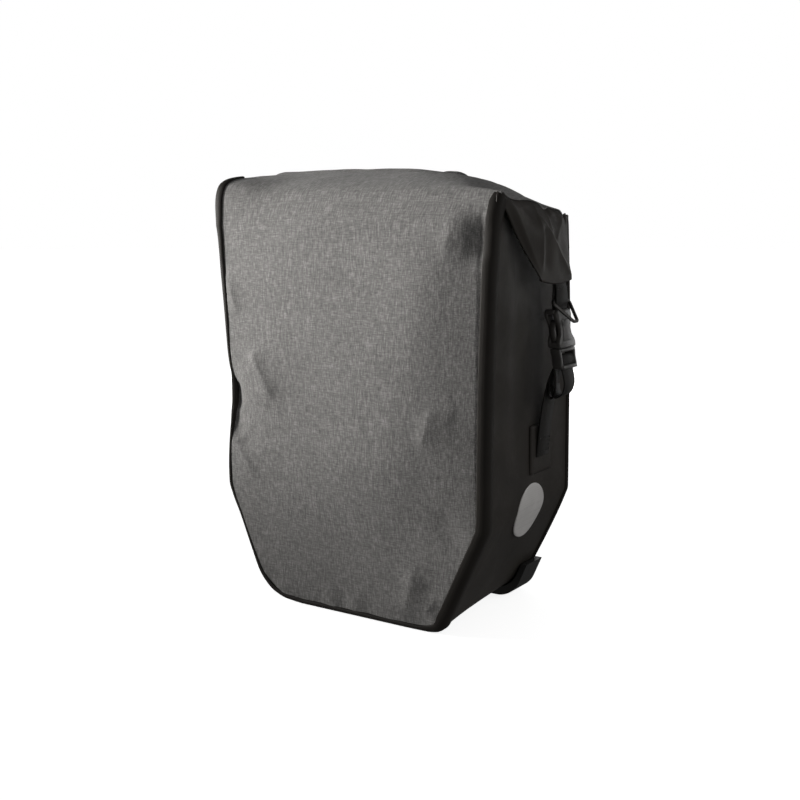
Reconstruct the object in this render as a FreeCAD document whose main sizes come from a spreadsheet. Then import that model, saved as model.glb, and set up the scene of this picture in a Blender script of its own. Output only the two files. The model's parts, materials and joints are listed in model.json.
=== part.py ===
import FreeCAD, Part
import math
import os

import Sketcher
from FreeCAD import Vector

# A roll-top pannier bag for one side of a bicycle rack.
# X runs across the bag, +Y points from the front panel towards the rack, +Z is up.
# The sketches measure Y from the outer face of the front panel. Every sub-part is then
# moved forward by mid_y, so that the origin is under the middle of the whole object.

DIMENSIONS = {
    # the bag's six-sided outline: half widths and heights, at the front and at the back
    "half_top": 160.0, "half_knee": 152.0, "half_base": 104.0,
    "shoulder_z": 398.0, "knee_z": 115.0, "base_z": 2.0, "corner_rad": 30.0,
    "back_half_top": 146.0, "back_top_z": 391.0, "back_base_z": 9.0,
    "bag_depth": 165.0, "wall": 1.5,
    # the welded binding along the front edge
    "band_face": 9.0, "band_rim": 2.0, "band_thick": 1.5, "band_depth": 8.0,
    # the rolled top
    "collar_wall": 2.0, "crest_z": 432.0, "droop": 21.0, "gap": 0.3,
    "roll_start": 92.0, "roll_end": 128.0, "roll_tall": 18.0, "overall_z": 434.0,
    "flap_thick": 4.0, "flap_side": 162.4, "flap_tip_z": 313.0,
    # webbing and side-release buckles
    "web_wide": 25.0, "web_thick": 1.6, "web_pack": 5.0, "buckle_y": 104.0, "buckle_x": 166.5,
    "buckle_wide": 34.0, "buckle_thick": 13.0, "socket_top": 301.5, "socket_base": 266.0,
    "male_base": 246.5, "male_thick": 11.0, "prong_wide": 5.0, "prong_thick": 6.4,
    "ring_z": 309.5, "ring_x": 168.9, "wire_rad": 1.6, "ring_tilt": 42.0,
    "patch_wide": 40.0, "patch_tall": 43.0,
    # the rail, hooks and latches that hold the bag on a rack tube
    "rail_z": 364.0, "rail_half": 130.0, "rail_deep": 9.0, "rail_tall": 28.0,
    "hook_x": 90.0, "hook_wide": 24.0, "tube_rad": 8.0, "tube_y": 188.0, "tube_z": 372.0,
    "hook_wall": 5.0, "latch_wide": 15.0, "latch_y": 177.0, "latch_z": 360.5, "pin_rad": 1.5,
    "lip_y": 206.0, "tongue_thick": 4.6, "hub_rad": 2.55, "latch_gap": 0.3,
    # the carrying handle
    "handle_rad": 25.0, "handle_thick": 8.0, "handle_deep": 11.0, "pivot_rad": 2.0,
    "pivot_z": 370.0, "bracket_half": 42.0, "ear_thick": 4.0, "ear_gap": 0.3,
    # the lower rail and its turning stabiliser hook
    "low_rail_z": 120.0, "low_rail_half": 70.0, "low_hub_rad": 10.0, "spindle_rad": 4.0,
    "slider_half": 14.0, "arm_half": 7.0, "arm_thick": 7.0, "arm_wall": 4.0, "arm_reach": 26.0,
    # fasteners and feet
    "screw_rad": 2.0, "head_rad": 3.8, "nut_rad": 4.5, "nut_tall": 2.4, "stiff_thick": 2.5,
    "foot_depth": 34.0, "foot_tall": 37.0, "foot_wall": 4.0, "rivet_rad": 3.0, "badge_rad": 27.0,
    "fit_gap": 0.05, "slide_gap": 0.4,
}

RIGHT = 1
LEFT = -1
SIDES = {"left": LEFT, "right": RIGHT}

doc = FreeCAD.newDocument("pannier_bag")
sheet = doc.addObject("Spreadsheet::Sheet", "Sheet")


class Dim:
    """A length that carries both its value and the sheet formula that it comes from."""

    def __init__(self, value, text):
        self.value = value
        self.text = text

    def __add__(self, other):
        return combine(self, "+", other, self.value + value_of(other))

    def __radd__(self, other):
        return combine(other, "+", self, value_of(other) + self.value)

    def __sub__(self, other):
        return combine(self, "-", other, self.value - value_of(other))

    def __rsub__(self, other):
        return combine(other, "-", self, value_of(other) - self.value)

    def __mul__(self, other):
        return combine(self, "*", other, self.value * value_of(other))

    def __rmul__(self, other):
        return combine(other, "*", self, value_of(other) * self.value)

    def __truediv__(self, other):
        return combine(self, "/", other, self.value / value_of(other))

    def __neg__(self):
        return -1 * self


def value_of(size):
    return size.value if isinstance(size, Dim) else float(size)


def text_of(size):
    return size.text if isinstance(size, Dim) else "%.6f" % size


def combine(first, sign, second, value):
    return Dim(value, "(%s %s %s)" % (text_of(first), sign, text_of(second)))


def fill_sheet():
    for row, (alias, value) in enumerate(DIMENSIONS.items(), start=1):
        sheet.set("A%d" % row, alias)
        sheet.set("B%d" % row, str(value))
        sheet.setAlias("B%d" % row, alias)
    doc.recompute()


def cell(alias):
    return Dim(DIMENSIONS[alias], "Sheet." + alias)


def bind(thing, path, size):
    thing.setExpression(path, text_of(size))


MID_Y = (cell("lip_y") - cell("band_thick")) / 2


# ---------------------------------------------------------------- sketches and features

def new_body(label):
    body = doc.addObject("PartDesign::Body", label)
    body.Label = label
    bind(body, "Placement.Base.y", -MID_Y)
    return body


def new_sketch(body, role, offset):
    """A sketch on one of the body's own origin planes, moved along that plane's normal."""
    sketch = body.newObject("Sketcher::SketchObject", body.Name + "_sketch")
    planes = [plane for plane in body.Origin.OriginFeatures if plane.Role == role]
    sketch.AttachmentSupport = (planes[0], [""])
    sketch.MapMode = "FlatFace"
    bind(sketch, "AttachmentOffset.Base.z", offset)
    return sketch


def draw_polygon(sketch, points, rounded=None):
    """A closed outline whose corners are bound to the sheet; rounded maps corner to radius."""
    first = len(sketch.Geometry)
    count = len(points)
    for index in range(count):
        start = points[index]
        end = points[(index + 1) % count]
        line = Part.LineSegment(
            Vector(value_of(start[0]), value_of(start[1]), 0),
            Vector(value_of(end[0]), value_of(end[1]), 0))
        sketch.addGeometry(line, False)
    for index in range(count):
        following = (index + 1) % count
        sketch.addConstraint(Sketcher.Constraint("Coincident", first + index, 2, first + following, 1))
    for index, point in enumerate(points):
        for kind, size in zip(("DistanceX", "DistanceY"), point):
            limit = Sketcher.Constraint(kind, -1, 1, first + index, 1, value_of(size))
            number = sketch.addConstraint(limit)
            bind(sketch, "Constraints[%d]" % number, size)
    for corner, radius in (rounded or {}).items():
        sketch.fillet(first + corner, 1, value_of(radius), True, True)
        arcs = [n for n, g in enumerate(sketch.Geometry) if isinstance(g, Part.ArcOfCircle)]
        number = sketch.addConstraint(Sketcher.Constraint("Radius", arcs[-1], value_of(radius)))
        bind(sketch, "Constraints[%d]" % number, radius)


def draw_circle(sketch, centre, radius):
    """A circle with its centre and radius bound to the sheet."""
    middle = Vector(value_of(centre[0]), value_of(centre[1]), 0)
    number = sketch.addGeometry(Part.Circle(middle, Vector(0, 0, 1), value_of(radius)), False)
    for kind, size in zip(("DistanceX", "DistanceY"), centre):
        limit = sketch.addConstraint(Sketcher.Constraint(kind, -1, 1, number, 3, value_of(size)))
        bind(sketch, "Constraints[%d]" % limit, size)
    limit = sketch.addConstraint(Sketcher.Constraint("Radius", number, value_of(radius)))
    bind(sketch, "Constraints[%d]" % limit, radius)


def extrude(body, kind, sketch, length, reverse):
    feature = body.newObject("PartDesign::" + kind, body.Name + "_" + kind.lower())
    feature.Profile = sketch
    feature.Reversed = reverse
    bind(feature, "Length", length)
    return feature


def pad_y(body, points, start, end, rounded=None):
    """A prism with its outline in X and Z, from start to end along Y."""
    sketch = new_sketch(body, "XZ_Plane", -1 * start)
    draw_polygon(sketch, points, rounded)
    return extrude(body, "Pad", sketch, end - start, True)


def pad_x(body, points, start, end, rounded=None):
    """A prism with its outline in Y and Z, from start to end along X."""
    sketch = new_sketch(body, "YZ_Plane", start)
    draw_polygon(sketch, points, rounded)
    return extrude(body, "Pad", sketch, end - start, False)


def cut_y(body, points, start, end, rounded=None):
    sketch = new_sketch(body, "XZ_Plane", -1 * start)
    draw_polygon(sketch, points, rounded)
    return extrude(body, "Pocket", sketch, end - start, False)


def cut_x(body, points, start, end):
    sketch = new_sketch(body, "YZ_Plane", start)
    draw_polygon(sketch, points)
    return extrude(body, "Pocket", sketch, end - start, True)


def holes_y(body, centres, radius, start, end):
    """Round holes along Y."""
    sketch = new_sketch(body, "XZ_Plane", -1 * start)
    for centre in centres:
        draw_circle(sketch, centre, radius)
    return extrude(body, "Pocket", sketch, end - start, False)


def holes_x(body, centres, radius, start, end):
    """Round holes along X."""
    sketch = new_sketch(body, "YZ_Plane", start)
    for centre in centres:
        draw_circle(sketch, centre, radius)
    return extrude(body, "Pocket", sketch, end - start, True)


def rods_y(body, centres, radius, start, end):
    sketch = new_sketch(body, "XZ_Plane", -1 * start)
    for centre in centres:
        draw_circle(sketch, centre, radius)
    return extrude(body, "Pad", sketch, end - start, True)


def rods_x(body, centres, radius, start, end):
    sketch = new_sketch(body, "YZ_Plane", start)
    for centre in centres:
        draw_circle(sketch, centre, radius)
    return extrude(body, "Pad", sketch, end - start, False)


def loft_y(body, sections, rounded=None):
    """A ruled loft through outlines in X and Z; sections are (y, points)."""
    sketches = []
    for place, points in sections:
        sketch = new_sketch(body, "XZ_Plane", -1 * place)
        draw_polygon(sketch, points, rounded)
        sketches.append(sketch)
    loft = body.newObject("PartDesign::AdditiveLoft", body.Name + "_loft")
    loft.Profile = sketches[0]
    loft.Sections = sketches[1:]
    loft.Ruled = True
    return loft


def box(x_pair, z_pair):
    """The corners of a rectangle, anticlockwise."""
    low_x, high_x = x_pair
    low_z, high_z = z_pair
    return [(low_x, low_z), (high_x, low_z), (high_x, high_z), (low_x, high_z)]


def mirrored(side, low, high):
    """A span along X, swapped over for the left-hand side."""
    return (low, high) if side == RIGHT else (-1 * high, -1 * low)


def ribbon(centre_line, thick):
    """The outline of a flat strap seen on edge, along a line of (x, z) points."""
    outer, inner = [], []
    last = len(centre_line) - 1
    for index, point in enumerate(centre_line):
        before = centre_line[max(index - 1, 0)]
        after = centre_line[min(index + 1, last)]
        run_x = value_of(after[0]) - value_of(before[0])
        run_z = value_of(after[1]) - value_of(before[1])
        size = math.hypot(run_x, run_z)
        side_x = -run_z / size / 2
        side_z = run_x / size / 2
        outer.append((point[0] + thick * side_x, point[1] + thick * side_z))
        inner.append((point[0] - thick * side_x, point[1] - thick * side_z))
    return outer + inner[::-1]


# ---------------------------------------------------------------- the bag's own outline

def side_corners(inset, back=False):
    """Top, knee and base corners of the right half, moved inwards by inset."""
    half_top = cell("back_half_top") if back else cell("half_top")
    top_z = cell("back_top_z") if back else cell("shoulder_z")
    base_z = cell("back_base_z") if back else cell("base_z")
    return [
        (half_top - inset, top_z),
        (cell("half_knee") - inset, cell("knee_z") + inset * 0.2),
        (cell("half_base") - inset * 0.66, base_z + inset)]


def flipped(points):
    return [(-1 * x, z) for x, z in points]


def full_outline(inset, back=False):
    """The closed six-sided outline; corners 2 and 3 are the rounded base corners."""
    right = side_corners(inset, back)
    return flipped(right) + right[::-1]


def u_outline(outside, inside, back=False):
    """An open-topped strip between two insets; corners 2, 3, 8 and 9 are rounded."""
    outer = full_outline(outside, back)
    inner = full_outline(inside, back)
    return outer + inner[::-1]


def base_radii(outside, inside=None):
    outer = cell("corner_rad") - outside
    radii = {2: outer, 3: outer}
    if inside is not None:
        inner = cell("corner_rad") - inside
        radii[8] = inner
        radii[9] = inner
    return radii


def arch(half, crest, droop, steps=8):
    """Points along a shallow arch from -half to +half that droops at its ends."""
    points = []
    for index in range(steps + 1):
        share = 2 * index / steps - 1
        points.append((half * share, crest - droop * share ** 2))
    return points


def arch_band(half, crest, droop, thick):
    """The closed outline of a strip of cloth that follows an arch."""
    top = arch(half, crest, droop)
    bottom = arch(half, crest - thick, droop)
    return bottom + top[::-1]


# ---------------------------------------------------------------- fabric of the bag

def make_front_panel():
    body = new_body("front_panel")
    pad_y(body, full_outline(0), 0, cell("wall"), base_radii(0))


def make_back_panel():
    body = new_body("back_panel")
    start = cell("bag_depth") - cell("wall")
    pad_y(body, full_outline(0, True), start, cell("bag_depth"), base_radii(0))
    holes_y(body, rail_screw_places() + low_screw_places(), cell("screw_rad"),
            start - 1, cell("bag_depth") + 1)


def make_side_gusset():
    body = new_body("side_gusset")
    wall = cell("wall")
    sections = [(wall, u_outline(0, wall)),
                (cell("bag_depth") - wall, u_outline(0, wall, True))]
    loft_y(body, sections, base_radii(0, wall))


def make_front_band():
    """The gusset's edge, folded over the front panel and welded down."""
    body = new_body("front_band")
    rim = -1 * cell("band_rim")
    face = cell("band_face")
    pad_y(body, u_outline(rim, face), -1 * cell("band_thick"), 0, base_radii(rim, face))
    pad_y(body, u_outline(rim, 0), 0, cell("band_depth"), base_radii(rim, 0))


def make_back_stiffener():
    """A plastic sheet inside the bag that the rails are screwed to."""
    body = new_body("back_stiffener")
    end = cell("bag_depth") - cell("wall")
    right = [(cell("back_half_top") - 16, cell("rail_z") + 20),
             (cell("half_knee") - 14, cell("knee_z") + 2),
             (cell("half_base") - 14, cell("back_base_z") + 10)]
    start = end - cell("stiff_thick")
    pad_y(body, flipped(right) + right[::-1], start, end, {2: cell("corner_rad"), 3: cell("corner_rad")})
    holes_y(body, rail_screw_places() + low_screw_places(), cell("screw_rad"), start - 1, end + 1)


# ---------------------------------------------------------------- the rolled closure

def make_front_collar():
    """The front panel's upper end, which curves back to the roll."""
    body = new_body("front_collar")
    half = cell("flap_side")
    thick = cell("collar_wall")
    first = cell("shoulder_z") + cell("gap") + thick + 1
    crest = cell("crest_z")
    droop = cell("droop")
    sections = [(0, arch_band(half, first, 1, thick)),
                (22, arch_band(half, crest - 11, droop * 0.5, thick)),
                (55, arch_band(half, crest - 3, droop * 0.9, thick)),
                (cell("roll_start"), arch_band(half, crest - 3, droop, thick))]
    loft_y(body, sections)


def make_back_collar():
    """The back panel's upper end, which leans forward to the roll."""
    body = new_body("back_collar")
    half = cell("flap_side")
    thick = cell("collar_wall")
    last = cell("back_top_z") + cell("gap") + thick + 1
    sections = [(cell("roll_end"), arch_band(half, cell("crest_z") - 8, cell("droop"), thick)),
                (cell("bag_depth") - 1, arch_band(half, last, 1, thick))]
    loft_y(body, sections)


def make_roll():
    """Three turns of both panels round the stiffener, open at both ends."""
    body = new_body("roll")
    half = cell("flap_side")
    start = cell("roll_start")
    end = cell("roll_end")
    pad_y(body, arch_band(half, cell("overall_z"), cell("droop"), cell("roll_tall")), start, end)
    middle = cell("overall_z") - cell("roll_tall") / 2
    slot = arch_band(half + 1, middle + 1.5, cell("droop"), 3)
    cut_y(body, slot, start + 5, end - 5)


def make_roll_stiffener():
    body = new_body("roll_stiffener")
    middle = cell("overall_z") - cell("roll_tall") / 2
    band = arch_band(cell("flap_side") - 6, middle + 1, cell("droop") * 0.93, 2)
    pad_y(body, band, cell("roll_start") + 6, cell("roll_end") - 6)


def make_flap(name, side):
    """One end of the roll with the folded-in side, turned down against the gusset."""
    body = new_body("flap_" + name)
    tip = cell("flap_tip_z")
    buckle = cell("buckle_y")
    top = cell("shoulder_z") + 3
    outline = [(buckle - 28, tip), (buckle + 18, tip), (cell("bag_depth") - 12, cell("back_top_z") + 2),
               (cell("roll_start"), top), (2, top)]
    start, end = mirrored(side, cell("flap_side"), cell("flap_side") + cell("flap_thick"))
    pad_x(body, outline, start, end)


# ---------------------------------------------------------------- straps and buckles

def make_flap_webbing(name, side):
    """The doubled webbing under the flap's tip, with a tunnel for the ring's bar."""
    body = new_body("flap_webbing_" + name)
    outer = cell("flap_side") + cell("flap_thick")
    ends = mirrored(side, outer, outer + cell("web_pack"))
    web = box(ends, (cell("socket_top") + 0.5, cell("flap_tip_z") + 17))
    start = cell("buckle_y") - cell("web_wide") / 2
    end = start + cell("web_wide")
    pad_y(body, web, start, end)
    centre = (side * cell("ring_x"), cell("ring_z"))
    holes_y(body, [centre], cell("wire_rad") + cell("fit_gap"), start - 1, end + 1)


def make_strap_ring(name, side):
    """A triangular wire ring; its bar lies in the webbing's tunnel."""
    body = new_body("strap_ring_" + name)
    tilt = FreeCAD.Rotation(Vector(0, 1, 0), -side * DIMENSIONS["ring_tilt"])
    body.Placement = FreeCAD.Placement(Vector(0, 0, 0), tilt)
    bind(body, "Placement.Base.x", side * cell("ring_x"))
    bind(body, "Placement.Base.y", cell("buckle_y") - MID_Y)
    bind(body, "Placement.Base.z", cell("ring_z"))
    half = cell("web_wide") / 2 + 6
    path = new_sketch(body, "YZ_Plane", 0)
    corners = [(0, 0), (half, 0), (half * 0.22, half * -1.35), (half * -0.22, half * -1.35), (-1 * half, 0)]
    draw_polygon(path, corners, {1: cell("wire_rad") * 2, 2: cell("wire_rad") * 2,
                                 3: cell("wire_rad") * 2, 4: cell("wire_rad") * 2})
    section = new_sketch(body, "XZ_Plane", 0)
    draw_circle(section, (0, 0), cell("wire_rad"))
    pipe = body.newObject("PartDesign::AdditivePipe", body.Name + "_pipe")
    pipe.Profile = section
    pipe.Spine = path


def buckle_span(inset=0.0):
    half = cell("buckle_wide") / 2 - inset
    return cell("buckle_y") - half, cell("buckle_y") + half


def make_buckle_socket(name, side):
    """The buckle's upper half: a webbing bar on top and a hollow that takes the prongs."""
    body = new_body("buckle_socket_" + name)
    half = cell("buckle_thick") / 2
    middle = cell("buckle_x")
    low = cell("socket_base")
    high = cell("socket_top")
    start, end = mirrored(side, middle - half, middle + half)
    near, far = buckle_span()
    pad_x(body, box((near, far), (low, high)), start, end, {0: 3, 1: 3, 2: 4, 3: 4})
    near, far = buckle_span(3.2)
    hollow = box(mirrored(side, middle - half + 2.4, middle + half - 2.4), (low - 1, high - 10.5))
    cut_y(body, hollow, near, far)
    near, far = buckle_span(4.2)
    cut_x(body, box((near, far), (high - 8, high - 3)), start - 1, end + 1)
    near, far = buckle_span(-1)
    window = box(mirrored(side, middle - half + 3.4, middle + half - 3.4), (low + 5, low + 18))
    cut_y(body, window, near, far)


def make_buckle_male(name, side):
    """The buckle's lower half: two prongs, a guide tongue and the bars for the strap."""
    body = new_body("buckle_male_" + name)
    middle = cell("buckle_x")
    base = cell("male_base")
    seam = cell("socket_base") - 0.4
    half = cell("male_thick") / 2
    start, end = mirrored(side, middle - half, middle + half)
    near, far = buckle_span()
    pad_x(body, box((near, far), (base, seam)), start, end, {0: 4, 1: 4})
    near, far = buckle_span(4)
    cut_x(body, box((near, far), (base + 4, base + 9.5)), start - 1, end + 1)
    half = cell("prong_thick") / 2
    start, end = mirrored(side, middle - half, middle + half)
    wide = cell("prong_wide")
    tip = cell("socket_top") - 12
    near, far = buckle_span(4)
    pad_x(body, box((near, near + wide), (seam - 2, tip)), start, end)
    pad_x(body, box((far - wide, far), (seam - 2, tip)), start, end)
    centre = cell("buckle_y")
    pad_x(body, box((centre - wide / 2, centre + wide / 2), (seam - 2, tip)), start, end)


def make_lower_strap(name, side):
    """The adjusting strap, from the weld patch through the buckle's bar to its loose tail."""
    body = new_body("lower_strap_" + name)
    bar = cell("male_base") + 6.8
    middle = cell("buckle_x")
    flat = cell("half_knee") + 2.4
    line = [(flat, cell("knee_z") + 48), (flat, bar - 33), (middle - 7.4, bar - 3.5),
            (middle - 5.2, bar), (middle + 5.2, bar), (middle + 7.4, bar - 3.5),
            (middle + 11, bar - 18), (middle + 9, bar - 29), (middle + 2, bar - 34),
            (middle - 2.5, bar - 26)]
    line = [(side * x, z) for x, z in line]
    start = cell("buckle_y") - cell("web_wide") / 2 + 0.2
    pad_y(body, ribbon(line, cell("web_thick")), start, start + cell("web_wide") - 0.4)


def skin_over_gusset(name, low, high):
    """A thin skin that follows the gusset's outside, as a base for welded-on pieces."""
    body = new_body(name)
    sections = [(cell("wall"), u_outline(-1 * high, -1 * low)),
                (cell("bag_depth") - cell("wall"), u_outline(-1 * high, -1 * low, True))]
    loft_y(body, sections, base_radii(-1 * high, -1 * low))
    return body


def place_primitive(thing, x_low, y_low, z_low):
    bind(thing, "Placement.Base.x", x_low)
    bind(thing, "Placement.Base.y", y_low - MID_Y)
    bind(thing, "Placement.Base.z", z_low)


def common_of(label, first, second):
    common = doc.addObject("Part::MultiCommon", label)
    common.Label = label
    common.Shapes = [first, second]
    return common


def make_strap_patch(name, side):
    """The square patch that welds the lower strap to the gusset."""
    skin = skin_over_gusset("patch_skin_" + name, 0.1, 1.0)
    cutter = doc.addObject("Part::Box", "patch_cutter_" + name)
    bind(cutter, "Length", 30)
    bind(cutter, "Width", cell("patch_wide"))
    bind(cutter, "Height", cell("patch_tall"))
    near = cell("buckle_y") - cell("patch_wide") / 2
    place_primitive(cutter, side * cell("half_knee") - 15, near, cell("knee_z") + 32)
    common_of("strap_patch_" + name, skin, cutter)


def make_side_badge(name, side):
    """A plain round reflector welded over the gusset's knee."""
    skin = skin_over_gusset("badge_skin_" + name, 0.1, 0.9)
    cutter = doc.addObject("Part::Cylinder", "badge_cutter_" + name)
    bind(cutter, "Radius", cell("badge_rad"))
    bind(cutter, "Height", 60)
    cutter.Placement = FreeCAD.Placement(Vector(0, 0, 0), FreeCAD.Rotation(Vector(0, 1, 0), 90 * side))
    place_primitive(cutter, side * (cell("half_knee") - 40), cell("buckle_y") - 15, cell("knee_z") - 7)
    common_of("side_badge_" + name, skin, cutter)


# ---------------------------------------------------------------- feet

def make_envelope():
    """The space that the bag itself fills, which the feet are cut to fit."""
    body = new_body("envelope")
    sections = [(0, full_outline(-0.1)), (cell("bag_depth") + 0.1, full_outline(-0.1, True))]
    loft_y(body, sections, base_radii(-0.1))
    return body


def make_corner_foot(name, side, envelope):
    """A moulded cap round the lower back corner, flat underneath."""
    outer = new_body("foot_blank_" + name)
    base = cell("half_base")
    top = cell("foot_tall")
    corners = [(base - 24, 0), (base + 3.5, 0), (base + 19.5, top), (base - 2, top), (base - 24, 20)]
    corners = [(side * x, z) for x, z in corners]
    end = cell("bag_depth") + cell("foot_wall")
    pad_y(outer, corners, end - cell("foot_depth"), end, {1: cell("corner_rad") - 2})
    foot = doc.addObject("Part::Cut", "corner_foot_" + name)
    foot.Label = "corner_foot_" + name
    foot.Base = outer
    foot.Tool = envelope


def make_foot_rivets():
    """Two blind rivets that hold each foot on the back panel."""
    body = new_body("foot_rivets")
    base = cell("half_base")
    face = cell("bag_depth") + cell("foot_wall")
    pair = ((12, 12), (0, 27))
    places = [(side * (base - shift), height) for side in (LEFT, RIGHT) for shift, height in pair]
    rods_y(body, places, cell("rivet_rad"), face, face + 1.2)


# ---------------------------------------------------------------- rails and their screws

def rail_screw_places():
    half = cell("rail_half")
    return [(side * half * share, cell("rail_z")) for side in (LEFT, RIGHT) for share in (0.38, 0.93)]


def low_screw_places():
    return [(side * (cell("low_rail_half") - 12), cell("low_rail_z")) for side in (LEFT, RIGHT)]


def t_rail(label, height, half, tall, screws):
    """A rail with a T section: foot on the bag, neck, and a head that sliders hold on to."""
    body = new_body(label)
    back = cell("bag_depth")
    ends = (-1 * half, half)
    third = cell("rail_deep") / 3
    pad_y(body, box(ends, (height - tall / 2, height + tall / 2)), back, back + third)
    pad_y(body, box(ends, (height - tall / 5, height + tall / 5)), back + third, back + 2 * third)
    pad_y(body, box(ends, (height - tall / 2.8, height + tall / 2.8)), back + 2 * third, back + 3 * third)
    holes_y(body, screws, cell("screw_rad"), back - 1, back + 3 * third + 1)
    holes_y(body, screws, cell("head_rad") + 0.2, back + 3 * third - 2.3, back + 3 * third + 1)


def make_rail_ends():
    """End caps that stop the hooks running off the rail."""
    for name, side in SIDES.items():
        body = new_body("rail_end_" + name)
        x_pair = mirrored(side, cell("rail_half"), cell("rail_half") + 4)
        half = cell("rail_tall") / 2 + 1
        z_pair = (cell("rail_z") - half, cell("rail_z") + half)
        back = cell("bag_depth")
        pad_y(body, box(x_pair, z_pair), back, back + cell("rail_deep") + 1, {0: 1.5, 1: 1.5, 2: 1.5, 3: 1.5})


def make_screws(label, places):
    """Pan-head screws that run from the rail through the stiffener."""
    body = new_body(label)
    face = cell("bag_depth") + cell("rail_deep")
    inner = cell("bag_depth") - 7
    rods_y(body, places, cell("screw_rad"), inner, face - 1)
    rods_y(body, places, cell("head_rad"), face - 2.2, face - 0.2)


def make_nuts(label, places):
    """Nuts on the inner side of the stiffener."""
    body = new_body(label)
    inner = cell("bag_depth") - cell("wall") - cell("stiff_thick")
    start = inner - cell("nut_tall")
    rods_y(body, places, cell("nut_rad"), start, inner)
    holes_y(body, places, cell("screw_rad"), start - 1, inner + 1)


# ---------------------------------------------------------------- top hooks and latches

def claw_outline(height, tall, plate):
    """Y-Z outline of a slider's back, wrapped round a T-rail's head with running room."""
    back = cell("bag_depth")
    third = cell("rail_deep") / 3
    gap = cell("slide_gap")
    head = tall / 2.8 + gap - 0.1
    neck = tall / 5 + gap
    outside = head + 4
    inner_y = back + third + gap
    lip_y = back + 2 * third - gap + 0.1
    face = back + 3 * third + gap
    return [(inner_y, height - outside), (plate, height - outside), (plate, height + outside),
            (inner_y, height + outside), (inner_y, height + neck), (lip_y, height + neck),
            (lip_y, height + head), (face, height + head), (face, height - head),
            (lip_y, height - head), (lip_y, height - neck), (inner_y, height - neck)]


def make_hook(name, side):
    """A sliding hook: claws on the rail, a jaw over the tube and a slot for the latch."""
    body = new_body("hook_" + name)
    middle = side * cell("hook_x")
    half = cell("hook_wide") / 2
    start = middle - half
    end = middle + half
    plate = cell("tube_y") - cell("tube_rad")
    pad_x(body, claw_outline(cell("rail_z"), cell("rail_tall"), plate), start, end)
    outer = cell("tube_rad") + cell("hook_wall")
    top = cell("tube_z") + outer
    jaw = box((plate - 4, cell("tube_y") + outer), (cell("tube_z") - 8, top))
    pad_x(body, jaw, start, end, {2: outer})
    holes_x(body, [(cell("tube_y"), cell("tube_z"))], cell("tube_rad"), start - 1, end + 1)
    mouth = box((plate, cell("tube_y") + cell("tube_rad")), (cell("tube_z") - 20, cell("tube_z")))
    cut_x(body, mouth, start - 1, end + 1)
    slot_half = cell("latch_wide") / 2 + cell("latch_gap")
    slot = box((middle - slot_half, middle + slot_half), (cell("latch_z") - 25, cell("latch_z") + 3.2))
    cut_y(body, slot, cell("bag_depth") + cell("rail_deep") + 0.2, plate + 1)
    pin = [(cell("latch_y"), cell("latch_z"))]
    holes_x(body, pin, cell("pin_rad"), start - 1, end + 1)


def make_latch_pin(name, side):
    body = new_body("latch_pin_" + name)
    middle = side * cell("hook_x")
    half = cell("hook_wide") / 2
    rods_x(body, [(cell("latch_y"), cell("latch_z"))], cell("pin_rad"), middle - half, middle + half)


def make_latch(name, side):
    """The sprung tongue that closes the hook's mouth, with a lip for the finger."""
    body = new_body("latch_" + name)
    middle = side * cell("hook_x")
    half = cell("latch_wide") / 2
    hub = (cell("latch_y"), cell("latch_z"))
    rods_x(body, [hub], cell("hub_rad"), middle - half, middle + half)
    top = cell("latch_z") + cell("tongue_thick") / 2
    low = cell("latch_z") - cell("tongue_thick") / 2
    lip = cell("lip_y")
    tongue = [(cell("latch_y"), low), (lip - 4, low), (lip, low - 3), (lip, top - 3), (lip - 3, top),
              (cell("latch_y"), top)]
    pad_x(body, tongue, middle - half, middle + half)
    holes_x(body, [hub], cell("pin_rad") + cell("fit_gap"), middle - half - 1, middle + half + 1)


# ---------------------------------------------------------------- carrying handle

def leg_span(side):
    """Where one leg of the handle lies along X."""
    middle = cell("handle_rad")
    half = cell("handle_thick") / 2
    return mirrored(side, middle - half, middle + half)


def ear_reach():
    """How far the outer face of an ear stands from the leg beside it."""
    return cell("ear_gap") + cell("ear_thick")


def make_handle_bracket():
    """A block on the rail with two pairs of ears for the handle's legs."""
    body = new_body("handle_bracket")
    plate = cell("tube_y") - cell("tube_rad")
    start = cell("bag_depth") + cell("rail_deep")
    low = cell("rail_z") - cell("rail_tall") / 2
    high = cell("rail_z") + cell("rail_tall") / 2
    half = cell("bracket_half")
    pad_y(body, box((-1 * half, half), (low, high)), start, plate, {0: 3, 1: 3, 2: 3, 3: 3})
    ear = [(plate - 1, low + 3), (cell("tube_y") + 5, cell("pivot_z") - 6),
           (cell("tube_y") + 5, cell("pivot_z") + 5), (plate - 1, high)]
    for side in (LEFT, RIGHT):
        leg_low, leg_high = leg_span(side)
        pad_x(body, ear, leg_low - ear_reach(), leg_low - cell("ear_gap"))
        pad_x(body, ear, leg_high + cell("ear_gap"), leg_high + ear_reach())
    centre = (cell("tube_y"), cell("pivot_z"))
    holes_x(body, [centre], cell("pivot_rad"), -1 * half - 3, half + 3)


def make_handle_pins():
    body = new_body("handle_pins")
    centre = (cell("tube_y"), cell("pivot_z"))
    for side in (LEFT, RIGHT):
        leg_low, leg_high = leg_span(side)
        rods_x(body, [centre], cell("pivot_rad"), leg_low - ear_reach(), leg_high + ear_reach())


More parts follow.
